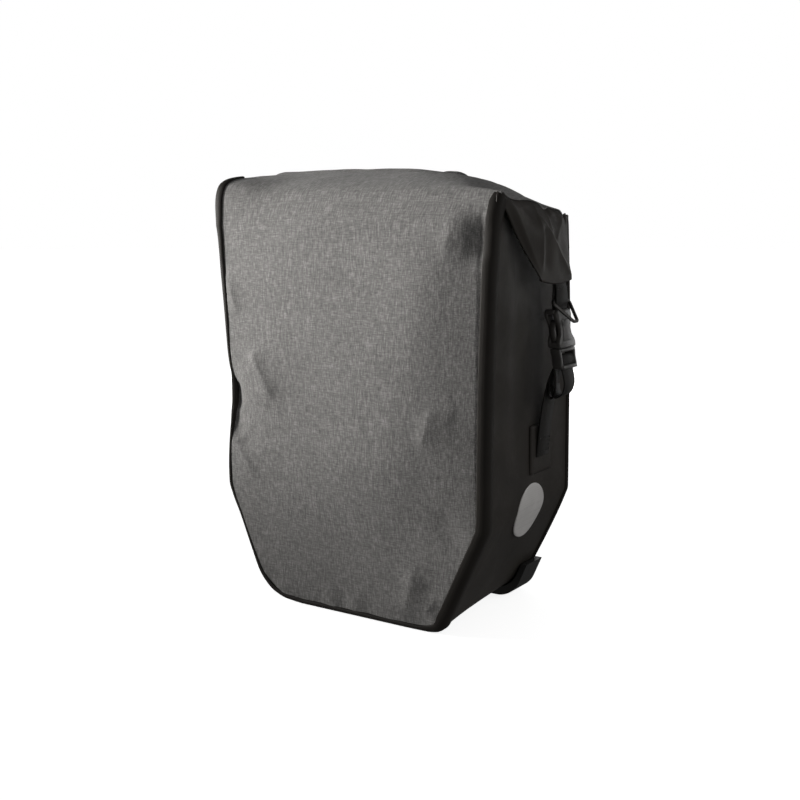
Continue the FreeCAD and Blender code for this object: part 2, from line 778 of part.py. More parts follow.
def make_carry_handle():
    """A moulded arch that pivots on the bracket; its crown is the highest point at the back."""
    body = new_body("carry_handle")
    outer = cell("handle_rad") + cell("handle_thick") / 2
    inner = cell("handle_rad") - cell("handle_thick") / 2
    foot = cell("pivot_z") - 5
    crown = cell("overall_z") - 0.5
    start = cell("tube_y") - cell("handle_deep") / 2
    end = cell("tube_y") + cell("handle_deep") / 2
    outline = [(-1 * outer, foot), (-1 * inner, foot), (-1 * inner, crown - cell("handle_thick")),
               (inner, crown - cell("handle_thick")), (inner, foot), (outer, foot),
               (outer, crown), (-1 * outer, crown)]
    near_outer = outer - 0.5
    near_inner = inner - 0.5
    pad_y(body, outline, start, end, {2: near_inner, 3: near_inner, 6: near_outer, 7: near_outer})
    centre = (cell("tube_y"), cell("pivot_z"))
    holes_x(body, [centre], cell("pivot_rad") + cell("fit_gap"), -1 * outer - 1, outer + 1)


# ---------------------------------------------------------------- lower stabiliser hook

def low_plate():
    """The outer face of the carrier on the lower rail."""
    return cell("bag_depth") + cell("rail_deep") + 4 + cell("slide_gap")


def make_low_slider():
    """The carrier on the lower rail with the spindle that the hook turns on."""
    body = new_body("low_slider")
    height = cell("low_rail_z")
    plate = low_plate()
    half = cell("slider_half")
    pad_x(body, claw_outline(height, cell("rail_tall"), plate), -1 * half, half)
    rods_y(body, [(0, height)], cell("spindle_rad"), plate - 1, plate + 8)
    rods_y(body, [(0, height)], cell("spindle_rad") + 2.5, plate + 7.8, plate + 10)


def make_low_hook():
    """A J-shaped arm that reaches round an upright stay of the rack."""
    body = new_body("low_hook")
    height = cell("low_rail_z")
    plate = low_plate()
    near = plate + cell("slide_gap")
    far = near + cell("arm_thick")
    rods_y(body, [(0, height)], cell("low_hub_rad"), near, far)
    rad = cell("tube_rad")
    wall = cell("arm_wall")
    reach = cell("arm_reach")
    half = cell("arm_half")
    pad_y(body, box((0, reach), (height - half, height + half)), near, far)
    sketch = new_sketch(body, "XY_Plane", height - half)
    tip = far + 2 * rad + wall
    outline = [(reach - 12, near), (reach + rad + wall, near), (reach + rad + wall, tip),
               (reach - 2, tip), (reach - 2, far)]
    draw_polygon(sketch, outline, {1: rad + wall - 1, 2: rad + wall - 1})
    extrude(body, "Pad", sketch, 2 * half, False)
    bore = new_sketch(body, "XY_Plane", height - half - 1)
    draw_circle(bore, (reach, far + rad), rad)
    extrude(body, "Pocket", bore, 2 * half + 2, True)
    mouth = new_sketch(body, "XY_Plane", height - half - 1)
    draw_polygon(mouth, box((reach - 14, reach), (far, far + 2 * rad)))
    extrude(body, "Pocket", mouth, 2 * half + 2, True)
    holes_y(body, [(0, height)], cell("spindle_rad") + cell("fit_gap"), near - 1, far + 1)


# ---------------------------------------------------------------- the whole bag

HELPERS = ("patch_skin", "patch_cutter", "badge_skin", "badge_cutter", "foot_blank", "envelope")


def make_all():
    make_front_panel()
    make_side_gusset()
    make_back_panel()
    make_front_band()
    make_back_stiffener()
    make_front_collar()
    make_back_collar()
    make_roll()
    make_roll_stiffener()
    t_rail("hook_rail", cell("rail_z"), cell("rail_half"), cell("rail_tall"), rail_screw_places())
    t_rail("low_rail", cell("low_rail_z"), cell("low_rail_half"), cell("rail_tall"), low_screw_places())
    make_rail_ends()
    make_screws("rail_screws", rail_screw_places())
    make_screws("low_rail_screws", low_screw_places())
    make_nuts("rail_nuts", rail_screw_places())
    make_nuts("low_rail_nuts", low_screw_places())
    make_handle_bracket()
    make_handle_pins()
    make_carry_handle()
    make_low_slider()
    make_low_hook()
    make_foot_rivets()
    envelope = make_envelope()
    for name, side in SIDES.items():
        make_flap(name, side)
        make_flap_webbing(name, side)
        make_strap_ring(name, side)
        make_buckle_socket(name, side)
        make_buckle_male(name, side)
        make_lower_strap(name, side)
        make_strap_patch(name, side)
        make_side_badge(name, side)
        make_corner_foot(name, side, envelope)
        make_hook(name, side)
        make_latch_pin(name, side)
        make_latch(name, side)


def sub_parts():
    kinds = ("PartDesign::Body", "Part::MultiCommon", "Part::Cut")
    found = [thing for thing in doc.Objects if thing.TypeId in kinds]
    return [thing for thing in found if not thing.Label.startswith(HELPERS)]


def check_document():
    for thing in doc.Objects:
        if "Invalid" in thing.State or "Error" in thing.State:
            raise RuntimeError("%s did not compute" % thing.Label)
    for part in sub_parts():
        shape = part.Shape
        if shape.isNull() or not shape.isValid() or not shape.Solids:
            raise RuntimeError("%s has no valid solid" % part.Label)


def write_parts():
    os.makedirs("parts", exist_ok=True)
    for part in sub_parts():
        part.Shape.exportStep(os.path.join("parts", part.Label + ".step"))
        print("%-22s solids %d  volume %10.1f mm3" % (part.Label, len(part.Shape.Solids), part.Shape.Volume))


fill_sheet()
make_all()
doc.recompute()
check_document()
write_parts()
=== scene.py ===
import json
import math

import bpy
import numpy as np
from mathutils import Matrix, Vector


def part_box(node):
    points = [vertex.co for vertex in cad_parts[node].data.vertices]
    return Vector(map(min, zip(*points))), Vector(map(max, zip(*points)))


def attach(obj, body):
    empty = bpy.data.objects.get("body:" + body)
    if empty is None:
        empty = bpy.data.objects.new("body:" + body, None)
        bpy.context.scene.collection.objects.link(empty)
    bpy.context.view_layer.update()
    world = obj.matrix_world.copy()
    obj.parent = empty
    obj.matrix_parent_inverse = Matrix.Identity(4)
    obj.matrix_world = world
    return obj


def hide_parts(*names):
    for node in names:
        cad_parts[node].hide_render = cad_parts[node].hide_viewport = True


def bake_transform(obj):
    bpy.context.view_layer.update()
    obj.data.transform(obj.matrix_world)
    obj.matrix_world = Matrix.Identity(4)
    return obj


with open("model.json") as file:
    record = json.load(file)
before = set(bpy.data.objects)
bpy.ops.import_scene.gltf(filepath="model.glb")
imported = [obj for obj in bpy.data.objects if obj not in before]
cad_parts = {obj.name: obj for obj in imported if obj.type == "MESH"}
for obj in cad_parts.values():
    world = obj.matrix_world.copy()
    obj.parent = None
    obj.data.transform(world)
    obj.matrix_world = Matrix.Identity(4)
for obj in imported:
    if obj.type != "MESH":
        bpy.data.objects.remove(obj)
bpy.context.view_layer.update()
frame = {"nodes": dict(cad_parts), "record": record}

# Shapes are worked out in millimetres: x across the bag, y back from the front face, z up.
MM = 0.001
FRONT_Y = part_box("front_band")[0][1]
# The sign of x at each side of the bag, and of y at each edge of a strap.
SIDES = {"left": -1, "right": 1}
WAYS = {"back": 1, "front": -1}


def box_mm(node):
    """A CAD node's lowest and highest corners in the millimetre space."""
    low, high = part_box(node)
    shift = np.array((0, FRONT_Y, 0))
    return (np.array(low) - shift) / MM, (np.array(high) - shift) / MM


def side_box(node):
    """A side piece's CAD box: nearest and farthest x, width in y, lowest and highest z."""
    low, high = box_mm(node)
    near, far = sorted((abs(low[0]), abs(high[0])))
    return near, far, high[1] - low[1], low[2], high[2]


DEPTH = box_mm("side_gusset")[1][1]
STRAP_LOW, STRAP_HIGH = box_mm("flap_webbing_right")
STRAP_Y = (STRAP_LOW[1] + STRAP_HIGH[1]) / 2
STRAP_WIDE = STRAP_HIGH[1] - STRAP_LOW[1]
STRAP_BEVEL = 0.5
BUCKLE_TOP = box_mm("buckle_socket_right")[1][2]
# How far a buckle moves outwards for each millimetre of drop, as it hangs off the bag.
LEAN = 0.17

# The front outline and the back outline, from the top left round the bottom to the top right.
FRONT_PATH = np.array([
    (-161, 410), (-163.5, 402), (-162.5, 385), (-159.5, 364), (-156.8, 330), (-154, 300),
    (-150.2, 255), (-147.4, 226), (-147, 206), (-148, 186), (-150.5, 157), (-151.8, 132),
    (-151.5, 117), (-147, 103), (-137.8, 84), (-122.5, 48), (-113, 27), (-104, 16),
    (-93, 8), (-78, 3.5), (-55, 2), (0, 2), (55, 2), (88, 2),
    (100, 3.5), (107, 8.5), (112, 18), (123, 42), (139, 77), (148.5, 98),
    (151.8, 107), (152.5, 120), (152.4, 156), (152.6, 227), (154, 289), (156.5, 366),
    (159.5, 400), (160, 409)], float)
BACK_PATH = np.array([
    (-145, 395), (-146, 391), (-146.5, 383), (-147, 364), (-148, 330), (-150, 300),
    (-150.7, 255), (-151, 226), (-151.2, 206), (-151.4, 186), (-151.7, 157), (-152, 132),
    (-152, 121), (-149, 109), (-141, 90), (-127, 58), (-117, 38), (-110, 25),
    (-102, 15), (-92, 10), (-70, 9), (0, 9), (60, 9), (85, 9.5),
    (97, 13), (105, 20), (111, 29), (122, 50), (141, 90), (149, 109),
    (152, 118), (152, 126), (151.7, 156), (151, 227), (150, 289), (147, 366),
    (146, 391), (145, 395)], float)


# -------- curves and relief

def slopes(t, values):
    """Slopes for a smooth curve through the points that never overshoots them."""
    rise = np.diff(values) / np.diff(t)
    same = rise[:-1] * rise[1:] > 0
    total = np.where(same, rise[:-1] + rise[1:], 1)
    inner = np.where(same, 2 * rise[:-1] * rise[1:] / total, 0)
    return np.concatenate(([rise[0]], inner, [rise[-1]]))


def curve(t, values, at):
    """The smooth curve through (t, values), read at the places in at."""
    t = np.asarray(t, float)
    values = np.asarray(values, float)
    at = np.clip(np.asarray(at, float), t[0], t[-1])
    slope = slopes(t, values)
    i = np.clip(np.searchsorted(t, at, side="right") - 1, 0, len(t) - 2)
    wide = t[i + 1] - t[i]
    s = (at - t[i]) / wide
    keep = values[i] * (1 + 2 * s) * (1 - s) ** 2 + values[i + 1] * s * s * (3 - 2 * s)
    return keep + wide * s * (1 - s) * (slope[i] * (1 - s) - slope[i + 1] * s)


def chord(points):
    """Distance run along a row of points."""
    steps = np.sqrt((np.diff(points, axis=0) ** 2).sum(1))
    return np.concatenate(([0], np.cumsum(steps)))


def path_at(points, t, at):
    """A smooth path through points whose places along it are t."""
    points = np.asarray(points, float)
    return np.stack([curve(t, points[:, i], at) for i in range(points.shape[1])], -1)


def smooth_path(points, count):
    """A smooth path through points, at count even steps."""
    t = chord(points)
    return path_at(points, t, np.linspace(0, t[-1], count))


def ease(x, start, end):
    """0 before start, 1 after end, smooth between."""
    s = np.clip((x - start) / (end - start), 0, 1)
    return s * s * (3 - 2 * s)


def arch(t):
    """0 at both ends of 0 to 1, and 1 in the middle."""
    return np.sin(math.pi * t)


def fold(a, b, start, end, wide, high):
    """A ridge, or with a negative height a valley, along a line in the plane (a, b)."""
    a, b = a - start[0], b - start[1]
    run = np.subtract(end, start)
    t = np.clip((a * run[0] + b * run[1]) / (run ** 2).sum(), 0, 1)
    away = (a - t * run[0]) ** 2 + (b - t * run[1]) ** 2
    return high * np.exp(-away / (2 * wide * wide))


def folds(a, b, lines):
    """The sum of several folds, each (start, end, width, height)."""
    return sum(fold(a, b, *line) for line in lines)


def crease(a, b, start, end, before, after, high):
    """A sharp crest from start to end: a rise of width before, then a fall of width after on its right."""
    a, b = a - start[0], b - start[1]
    run = np.subtract(end, start)
    length = math.hypot(*run)
    along = (a * run[0] + b * run[1]) / length ** 2
    right = (a * run[1] - b * run[0]) / length
    fade = ease(along, -0.12, 0.25) * (1 - ease(along, 0.7, 1.12))
    wide = np.where(right > 0, after, before)
    soft = np.sqrt(right ** 2 + (0.12 * wide) ** 2) - 0.12 * wide
    return high * fade * np.exp(-soft / wide)


def creases(a, b, lines):
    """The sum of several creases, each (start, end, before, after, height)."""
    return sum(crease(a, b, *line) for line in lines)


def ripple(a, b, size, high, seed):
    """A gentle uneven waviness."""
    total = 0
    turn = np.random.default_rng(seed)
    waves = 5
    for _ in range(waves):
        angle = turn.uniform(0, math.tau)
        phase = turn.uniform(0, math.tau)
        scale = math.tau / (size * turn.uniform(0.6, 1.6))
        total = total + np.sin((a * math.cos(angle) + b * math.sin(angle)) * scale + phase)
    return total * high / waves


# -------- meshes

def to_metres(points):
    points = np.asarray(points, float).reshape(-1, 3) * MM
    points[:, 1] += FRONT_Y
    return points


def new_object(name, data):
    piece = bpy.data.objects.new(name, data)
    bpy.context.collection.objects.link(piece)
    return piece


def make_mesh(name, points, faces, material):
    mesh = bpy.data.meshes.new(name)
    mesh.from_pydata([tuple(p) for p in to_metres(points)], [], faces)
    mesh.validate()
    mesh.polygons.foreach_set("use_smooth", [True] * len(mesh.polygons))
    mesh.materials.append(material)
    return new_object(name, mesh)


def grid_faces(rows, columns, closed=False):
    """Quads between the rows and columns of a grid, closed round the columns if asked."""
    faces = []
    last = columns if closed else columns - 1
    for i in range(rows - 1):
        for j in range(last):
            k = (j + 1) % columns
            faces.append((i * columns + j, i * columns + k, (i + 1) * columns + k, (i + 1) * columns + j))
    return faces


def make_sheet(name, points, material, thick, flip=False):
    """A curved sheet from a grid of points, with a thickness below its outer face."""
    faces = grid_faces(*points.shape[:2])
    if flip:
        faces = [face[::-1] for face in faces]
    piece = make_mesh(name, points, faces, material)
    skin = piece.modifiers.new("thickness", "SOLIDIFY")
    skin.thickness = thick * MM
    skin.offset = -1
    return piece


def tube_faces(rows, columns):
    """Quads round a tube of closed loops, and a cap at each end."""
    last = (rows - 1) * columns
    caps = [tuple(range(columns))[::-1], tuple(range(last, last + columns))]
    return grid_faces(rows, columns, closed=True) + caps


def make_tube(name, loops, material):
    """A closed skin through a row of closed loops, with capped ends."""
    return make_mesh(name, loops, tube_faces(*np.shape(loops)[:2]), material)


def round_edges(piece, wide, segments=3):
    bevel = piece.modifiers.new("rounded_edges", "BEVEL")
    bevel.width = wide * MM
    bevel.segments = segments
    bevel.limit_method = "ANGLE"
    bevel.angle_limit = math.radians(32)
    return piece


def finish_piece(piece, body, slot, *nodes):
    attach(piece, body)
    if nodes:
        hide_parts(*nodes)


def leaning(x, z):
    """x moved outwards in step with the drop below the buckle's top."""
    return x + np.sign(x) * LEAN * np.maximum(BUCKLE_TOP - z, 0)


def slab(name, outline, x_low, x_high, bevel):
    """A plate of the buckle with an outline in (y, z), from x_low to x_high."""
    count = len(outline)
    points = [(leaning(x, z), y, z) for x in (x_low, x_high) for y, z in outline]
    faces = [tuple(range(count))[::-1], tuple(range(count, 2 * count))]
    for i in range(count):
        j = (i + 1) % count
        faces.append((i, j, j + count, i + count))
    return round_edges(make_mesh(name, points, faces, BUCKLE), bevel)


def ribbon(name, side, path, y_mid, wide, thick, turn):
    """A flat strap that follows a path in (x, z). turn leans its width out of y."""
    path = path * (side, 1)
    half = wide / 2
    flat = half - STRAP_BEVEL
    section = [(-half, 0), (-flat, thick / 2), (flat, thick / 2), (half, 0),
               (flat, -thick / 2), (-flat, -thick / 2)]
    loops = []
    for place, out, lean in zip(path, outward(path), turn * side):
        loop = []
        for across, deep in section:
            x, z = place + out * deep
            loop.append((x + across * math.sin(lean), y_mid + across * math.cos(lean), z))
        loops.append(loop)
    return make_tube(name, loops, WEBBING)


# From one stitch to the next, in stitch lengths.
STITCH_PITCH = 1.45


def stitches(name, rows, length, radius):
    """Separate stitches, each a short raised thread, along several rows of points."""
    points = []
    faces = []
    for row in rows:
        row = np.asarray(row, float)
        t = chord(row)
        count = max(2, int(t[-1] / (length * STITCH_PITCH)))
        for start in np.linspace(0, t[-1] - length, count):
            ends = [[np.interp(at, t, row[:, i]) for i in range(3)] for at in (start, start + length)]
            add_thread(points, faces, *np.array(ends), radius)
    return make_mesh(name, points, faces, THREAD)


def add_thread(points, faces, a, b, radius):
    """One plump stitch between a and b, added to the lists."""
    run = b - a
    side = np.cross(run, (0.31, 0.17, 0.93))
    side /= np.linalg.norm(side)
    up = np.cross(run, side)
    up /= np.linalg.norm(up)
    first = len(points)
    turns = 6
    for share, size in ((0, 0.35), (0.25, 1), (0.75, 1), (1, 0.35)):
        for angle in (math.tau * turn / turns for turn in range(turns)):
            reach = radius * size
            points.append(a + run * share + side * math.cos(angle) * reach + up * math.sin(angle) * reach)
    faces.extend(tuple(first + corner for corner in face) for face in tube_faces(4, turns))


# -------- materials

# The distance between a wave texture's ribs at scale 1, in metres.
RIB_AT_SCALE_ONE = 0.31416


def set_inputs(node, values):
    for name, value in values.items():
        node.inputs[name.replace("_", " ")].default_value = value


class Nodes:
    """A short way to build one material's nodes. In the names of inputs, _ stands for a space."""

    def __init__(self, name, roughness, specular=0.5, metallic=0.0):
        self.material = bpy.data.materials.new(name)
        self.material.use_nodes = True
        self.tree = self.material.node_tree
        self.shader = self.tree.nodes["Principled BSDF"]
        self.place = self.tree.nodes.new("ShaderNodeTexCoord").outputs["Object"]
        self.shine(Roughness=roughness, Specular_IOR_Level=specular, Metallic=metallic)

    def shine(self, **values):
        """Sets inputs of the shader itself."""
        set_inputs(self.shader, values)

    def feed(self, name, source):
        """Links source to an input of the shader."""
        self.tree.links.new(source, self.shader.inputs[name])

    def add(self, kind, links, **values):
        """A node with some inputs linked and others set."""
        node = self.tree.nodes.new(kind)
        set_inputs(node, values)
        for name, source in links.items():
            self.tree.links.new(source, node.inputs[name])
        return node

    def stretched(self, scale):
        """Object coordinates scaled unevenly, so that a texture makes streaks."""
        return self.add("ShaderNodeMapping", {"Vector": self.place}, Scale=scale).outputs["Vector"]

    def noise(self, place, size, detail=2.0, rough=0.5):
        """Noise whose lumps are about size metres."""
        node = self.add("ShaderNodeTexNoise", {"Vector": place},
                        Scale=1 / size, Detail=detail, Roughness=rough)
        return node.outputs["Fac"]

    def bands(self, axis, size):
        """Even ribs, size metres apart."""
        node = self.add("ShaderNodeTexWave", {"Vector": self.place}, Scale=RIB_AT_SCALE_ONE / size)
        node.bands_direction = axis
        return node.outputs["Fac"]

    def math(self, how, a, b):
        """One operation on two sources, or on a source and a number."""
        node = self.tree.nodes.new("ShaderNodeMath")
        node.operation = how
        for socket, value in zip(node.inputs, (a, b)):
            if isinstance(value, float):
                socket.default_value = value
            else:
                self.tree.links.new(value, socket)
        return node.outputs["Value"]

    def weighted(self, *terms):
        """The sum of (source, weight) pairs."""
        total, *rest = (self.math("MULTIPLY", source, weight) for source, weight in terms)
        for part in rest:
            total = self.math("ADD", total, part)
        return total

    def ramp(self, source, stops):
        """A colour for each level of source: stops are (level, colour)."""
        node = self.add("ShaderNodeValToRGB", {"Fac": source})
        elements = node.color_ramp.elements
        while len(elements) < len(stops):
            elements.new(0.5)
        for element, (level, colour) in zip(elements, stops):
            element.position = level
            element.color = (*colour, 1)
        return node.outputs["Color"]

    def mix(self, a, b, how):
        """Two colours multiplied or added."""
        node = self.tree.nodes.new("ShaderNodeMix")
        node.data_type = "RGBA"
        node.blend_type = how
        node.inputs[0].default_value = 1.0
        self.tree.links.new(a, node.inputs[6])
        self.tree.links.new(b, node.inputs[7])
        return node.outputs[2]

    def bump(self, source, high, under=None):
        """Relief that is high metres at the top of source."""
        node = self.add("ShaderNodeBump", {"Height": source}, Distance=high, Strength=1.0)
        if under is not None:
            self.tree.links.new(under, node.inputs["Normal"])
        self.feed("Normal", node.outputs["Normal"])
        return node.outputs["Normal"]

    def spread(self, source, low, high, start=0.25, end=0.75):
        """source between start and end turned into a value from low to high."""
        node = self.add("ShaderNodeMapRange", {"Value": source},
                        From_Min=start, From_Max=end, To_Min=low, To_Max=high)
        return node.outputs["Result"]


def grey(level, warm=0.0):
    return (level * (1 + warm), level, level * (1 - warm))


def melange_material():
    """Coated polyester in mixed light and dark grey yarns that run both ways."""
    n = Nodes("melange_fabric", 0.88, 0.15)
    upright = n.noise(n.stretched((1, 0.14, 0.14)), 0.0010, 2.0, 0.6)
    across = n.noise(n.stretched((0.12, 1, 1)), 0.0009, 2.0, 0.6)
    cloud = n.noise(n.place, 0.005, 4.0, 0.7)
    yarn = n.weighted((upright, 0.5), (across, 0.38), (cloud, 0.12))
    shades = [(0.34, grey(0.092, 0.03)), (0.5, grey(0.178, 0.03)), (0.66, grey(0.33, 0.03))]
    tone = n.ramp(yarn, shades)
    patch = n.ramp(n.noise(n.place, 0.035, 2.0), [(0.3, grey(0.92)), (0.7, grey(1.0))])
    n.feed("Base Color", n.mix(tone, patch, "MULTIPLY"))
    weave = n.math("MULTIPLY", n.bands("X", 0.0009), n.bands("Z", 0.0009))
    n.bump(n.math("ADD", weave, n.math("MULTIPLY", yarn, 1.2)), 0.00014)
    n.feed("Roughness", n.spread(cloud, 0.74, 0.88))
    n.shine(Sheen_Weight=0.12, Sheen_Roughness=0.6)
    return n.material


def tarpaulin_material(name, level, roughness, gloss):
    """Black coated fabric: a fine weave under a smooth skin, with scuffs."""
    n = Nodes(name, roughness, gloss)
    cloud = n.noise(n.place, 0.05, 4.0, 0.6)
    scuff = n.noise(n.stretched((1, 1, 0.3)), 0.004, 3.0, 0.7)
    tone = n.ramp(cloud, [(0.3, grey(level * 0.85, 0.12)), (0.7, grey(level * 1.15, 0.14))])
    worn = n.ramp(scuff, [(0.62, grey(0.0)), (0.8, grey(level * 0.4))])
    n.feed("Base Color", n.mix(tone, worn, "ADD"))
    rib_x, rib_z, rib_y = (n.bands(axis, 0.0007) for axis in "XZY")
    weave = n.math("ADD", n.math("ADD", rib_x, rib_z), rib_y)
    grain = n.noise(n.place, 0.0006, 2.0)
    soft = n.bump(n.math("ADD", weave, n.math("MULTIPLY", grain, 2.0)), 0.00003)
    n.bump(n.noise(n.place, 0.03, 2.0, 0.4), 0.0008, soft)
    n.feed("Roughness", n.spread(scuff, roughness - 0.03, roughness + 0.04))
    return n.material


def webbing_material():
    """Woven nylon tape with raised ribs along it and a finer weft."""
    n = Nodes("black_webbing", 0.7, 0.3)
    ribs = n.bands("Y", 0.0021)
    weft = n.bands("Z", 0.0011)
    yarn = n.noise(n.place, 0.0009, 2.0)
    level = n.weighted((ribs, 0.5), (weft, 0.3), (yarn, 0.3))
    n.feed("Base Color", n.ramp(level, [(0.2, grey(0.005, 0.1)), (0.85, grey(0.018, 0.12))]))
    n.bump(level, 0.00028)
    return n.material


def plastic_material(name, level, roughness):
    """Moulded plastic with a fine grain and a slightly uneven shine."""
    n = Nodes(name, roughness, 0.45)
    grain = n.noise(n.place, 0.0005, 3.0, 0.7)
    cloud = n.noise(n.place, 0.012, 3.0)
    n.feed("Base Color", n.ramp(cloud, [(0.3, grey(level * 0.85, 0.06)), (0.7, grey(level * 1.2, 0.08))]))
    n.feed("Roughness", n.spread(cloud, roughness - 0.07, roughness + 0.07))
    n.bump(grain, 0.00005)
    return n.material


def metal_material(name, tint, roughness, grain=(1, 1, 1)):
    """Brushed or drawn metal, with streaks along it."""
    n = Nodes(name, roughness, 0.5, 1.0)
    streak = n.noise(n.stretched(grain), 0.0006, 3.0, 0.7)
    dark = tuple(0.8 * c for c in tint)
    n.feed("Base Color", n.ramp(streak, [(0.3, dark), (0.7, tint)]))
    n.feed("Roughness", n.spread(streak, roughness - 0.06, roughness + 0.08))
    n.bump(streak, 0.00003)
    return n.material


def reflector_material():
    """Light grey reflective film: a fine honeycomb of cells under a clear skin."""
    n = Nodes("reflector_grey", 0.38, 0.5)
    cells = n.add("ShaderNodeTexVoronoi", {"Vector": n.place}, Scale=1 / 0.0022, Randomness=0.15)
    cells.feature = "DISTANCE_TO_EDGE"
    edge = n.ramp(cells.outputs["Distance"], [(0.02, grey(0.6, 0.03)), (0.12, grey(0.68, 0.03))])
    cloud = n.ramp(n.noise(n.place, 0.02), [(0.3, grey(0.88)), (0.7, grey(1.0))])
    n.feed("Base Color", n.mix(edge, cloud, "MULTIPLY"))
    n.bump(cells.outputs["Distance"], 0.00008)
    n.shine(Coat_Weight=0.3, Coat_Roughness=0.2)
    return n.material


def thread_material():
    n = Nodes("black_thread", 0.6, 0.3)
    twist = n.noise(n.place, 0.0004, 1.0)
    n.feed("Base Color", n.ramp(twist, [(0.3, grey(0.012)), (0.7, grey(0.04, 0.02))]))
    n.bump(twist, 0.0001)
    return n.material


def floor_material():
    """Matt white, with a soft glow that grows away from the object."""
    n = Nodes("studio_floor", 0.9, 0.1)
    cloud = n.noise(n.place, 0.4)
    n.feed("Base Color", n.ramp(cloud, [(0.3, grey(0.8)), (0.7, grey(0.82))]))
    away = n.add("ShaderNodeVectorMath", {"Vector": n.place})
    away.operation = "LENGTH"
    n.shine(Emission_Color=(1, 1, 1, 1))
    n.feed("Emission Strength", n.spread(away.outputs["Value"], 0.84, 0.97, 0.3, 2.0))
    return n.material


MELANGE = melange_material()
TARPAULIN = tarpaulin_material("black_tarpaulin", 0.031, 0.55, 0.15)
WELT = tarpaulin_material("edge_welt", 0.02, 0.6, 0.12)
WEBBING = webbing_material()
BUCKLE = plastic_material("buckle_plastic", 0.042, 0.38)
STIFF = plastic_material("stiffener_plastic", 0.03, 0.5)
RUBBER = plastic_material("foot_rubber", 0.009, 0.6)
REFLECTOR = reflector_material()
THREAD = thread_material()
# The CAD file brings materials of the same names, so Blender may have put a number after these.
BY_SLOT = {material.name.split(".")[0]: material for material in (
    MELANGE, TARPAULIN, WEBBING, STIFF, REFLECTOR, plastic_material("black_plastic", 0.024, 0.36),
    metal_material("aluminium_rail", (0.56, 0.57, 0.59), 0.34, (0.05, 1, 1)),
    metal_material("steel_wire", (0.12, 0.115, 0.11), 0.36),
    metal_material("steel_screws", (0.5, 0.5, 0.49), 0.28, (1, 0.1, 1)))}


# -------- the front and the rolled top

# The side view of the top, from the front face over the shoulder to behind the roll, in the
# middle and at the left end; sag is how much of the right end's droop each place takes.
TOP_Y = (0, 1, 4, 10, 20, 36, 60, 80, 91, 98, 111, 123, 131, 132, 127)
TOP_Z = (376, 389, 400.5, 410.5, 416.5, 421.8, 427.6, 431, 430.5, 432.5, 434.5, 433, 427, 420, 413)
LEFT_Y = (0, 0.6, 1.8, 6, 14, 28, 50, 72, 90, 97, 110, 122, 130, 131, 126)
LEFT_Z = (376, 391, 404, 415.5, 421, 424, 426, 428.5, 429, 431, 433, 431, 425, 418, 411)
SAG = (0, 0, 0, 0.03, 0.28, 0.48, 0.64, 0.8, 0.9, 0.9, 1, 1, 1, 1, 1)
DROOP_X = (-170, -10, 28, 58, 95, 115, 125, 145, 156, 170)
DROOP = (0, 0, 3.4, 7.5, 16, 24, 29, 36, 39, 42)
SHEET_END = 158.0
# Places along the edge of the sheet, from the face at 0 to behind the roll at 1, and x there.
EDGE_V = (0, 0.14, 0.3, 0.5, 1)
LEFT_EDGE = (-161.6, -163.4, -162.8, -161, -160)
RIGHT_EDGE = (157.3, 159.6, 160, 160, 159.5)
# The filled bag's bulge: its height, its middle and its reach to each side.
CROWN = 5.0
CROWN_X = -6
CROWN_Z = 205
CROWN_REACH = 150
# How the front falls away towards its right edge, and the waves along its bottom edge.
FLANK_ENDS = (-150, 148)
FLANK_SOFT = 8.7
FLANK_FALL = 1.65
HEM_WAVE = 0.9
# How far the edge of the fabric lies inside the outline, on the flat and over the top.
FACE_INSET = 2.2
TOP_INSET = 1.6


def flank(x, z):
    """How far the right flank falls away beyond a slanting line. It is nothing at both edges."""
    left, right = FLANK_ENDS
    line = 113 - (430 - z) * 0.195
    fall = np.logaddexp(0, (x - line) / FLANK_SOFT)
    fall = fall - np.logaddexp(0, (right - line) / FLANK_SOFT) * (x - left) / (right - left)
    return FLANK_FALL * fall * ease(z, 60, 170) * (1 - ease(z, 384, 412))


def front_relief(x, z):
    """How far the front fabric stands out from the plane of its edges."""
    across = 1 - np.clip(np.abs(x - CROWN_X) / CROWN_REACH, 0, 1) ** 3.1
    upright = 1 - np.clip(np.abs(z - CROWN_Z) / CROWN_Z, 0, 1) ** 2.3
    out = CROWN * across * upright - flank(x, z) * ease(across, 0.0, 0.08)
    out = out + (folds(x, z, FRONT_FOLDS) + creases(x, z, FRONT_CREASES)) * ease(across, 0.0, 0.3)
    out = out + ripple(x, z, 90, 0.9, 4) * across * upright
    out = out + HEM_WAVE * np.sin(x / 6.5 + 1.3 * np.sin(x / 17)) * np.exp(-((z - 10) / 13) ** 2)
    return out + folds(x, z, EDGE_FOLDS)


FRONT_FOLDS = [
    ((140, 374), (142, 350), 12, -1.4), ((-136, 182), (-128, 166), 9, -3.2),
    ((92, 40), (100, 26), 9, -2.6), ((112, 108), (120, 92), 9, -1.6),
    ((-143, 214), (-140, 200), 5, -3.0), ((-70, 330), (-30, 300), 26, 0.7),
    ((30, 300), (50, 250), 26, -0.5)]
FRONT_CREASES = [
    ((111, 352), (120, 393), 10, 24, 3.0), ((118, 391), (150, 393), 9, 14, 2.0),
    ((90, 180), (98, 216), 9, 19, 3.1), ((96, 214), (122, 214), 8, 14, 1.2),
    ((-114, 256), (-84, 206), 8, 20, 4.2), ((-143, 226), (-106, 164), 10, 15, -3.4),
    ((-150, 330), (-134, 290), 6, 9, 2.4), ((-112, 180), (-138, 160), 6, 9, 2.0),
    ((-146, 168), (-112, 128), 5, 10, 2.6), ((66, 16), (78, 64), 9, 18, 3.6),
    ((88, 18), (100, 38), 5, 5, 1.6), ((-60, 24), (-40, 8), 6, 8, 1.0)]
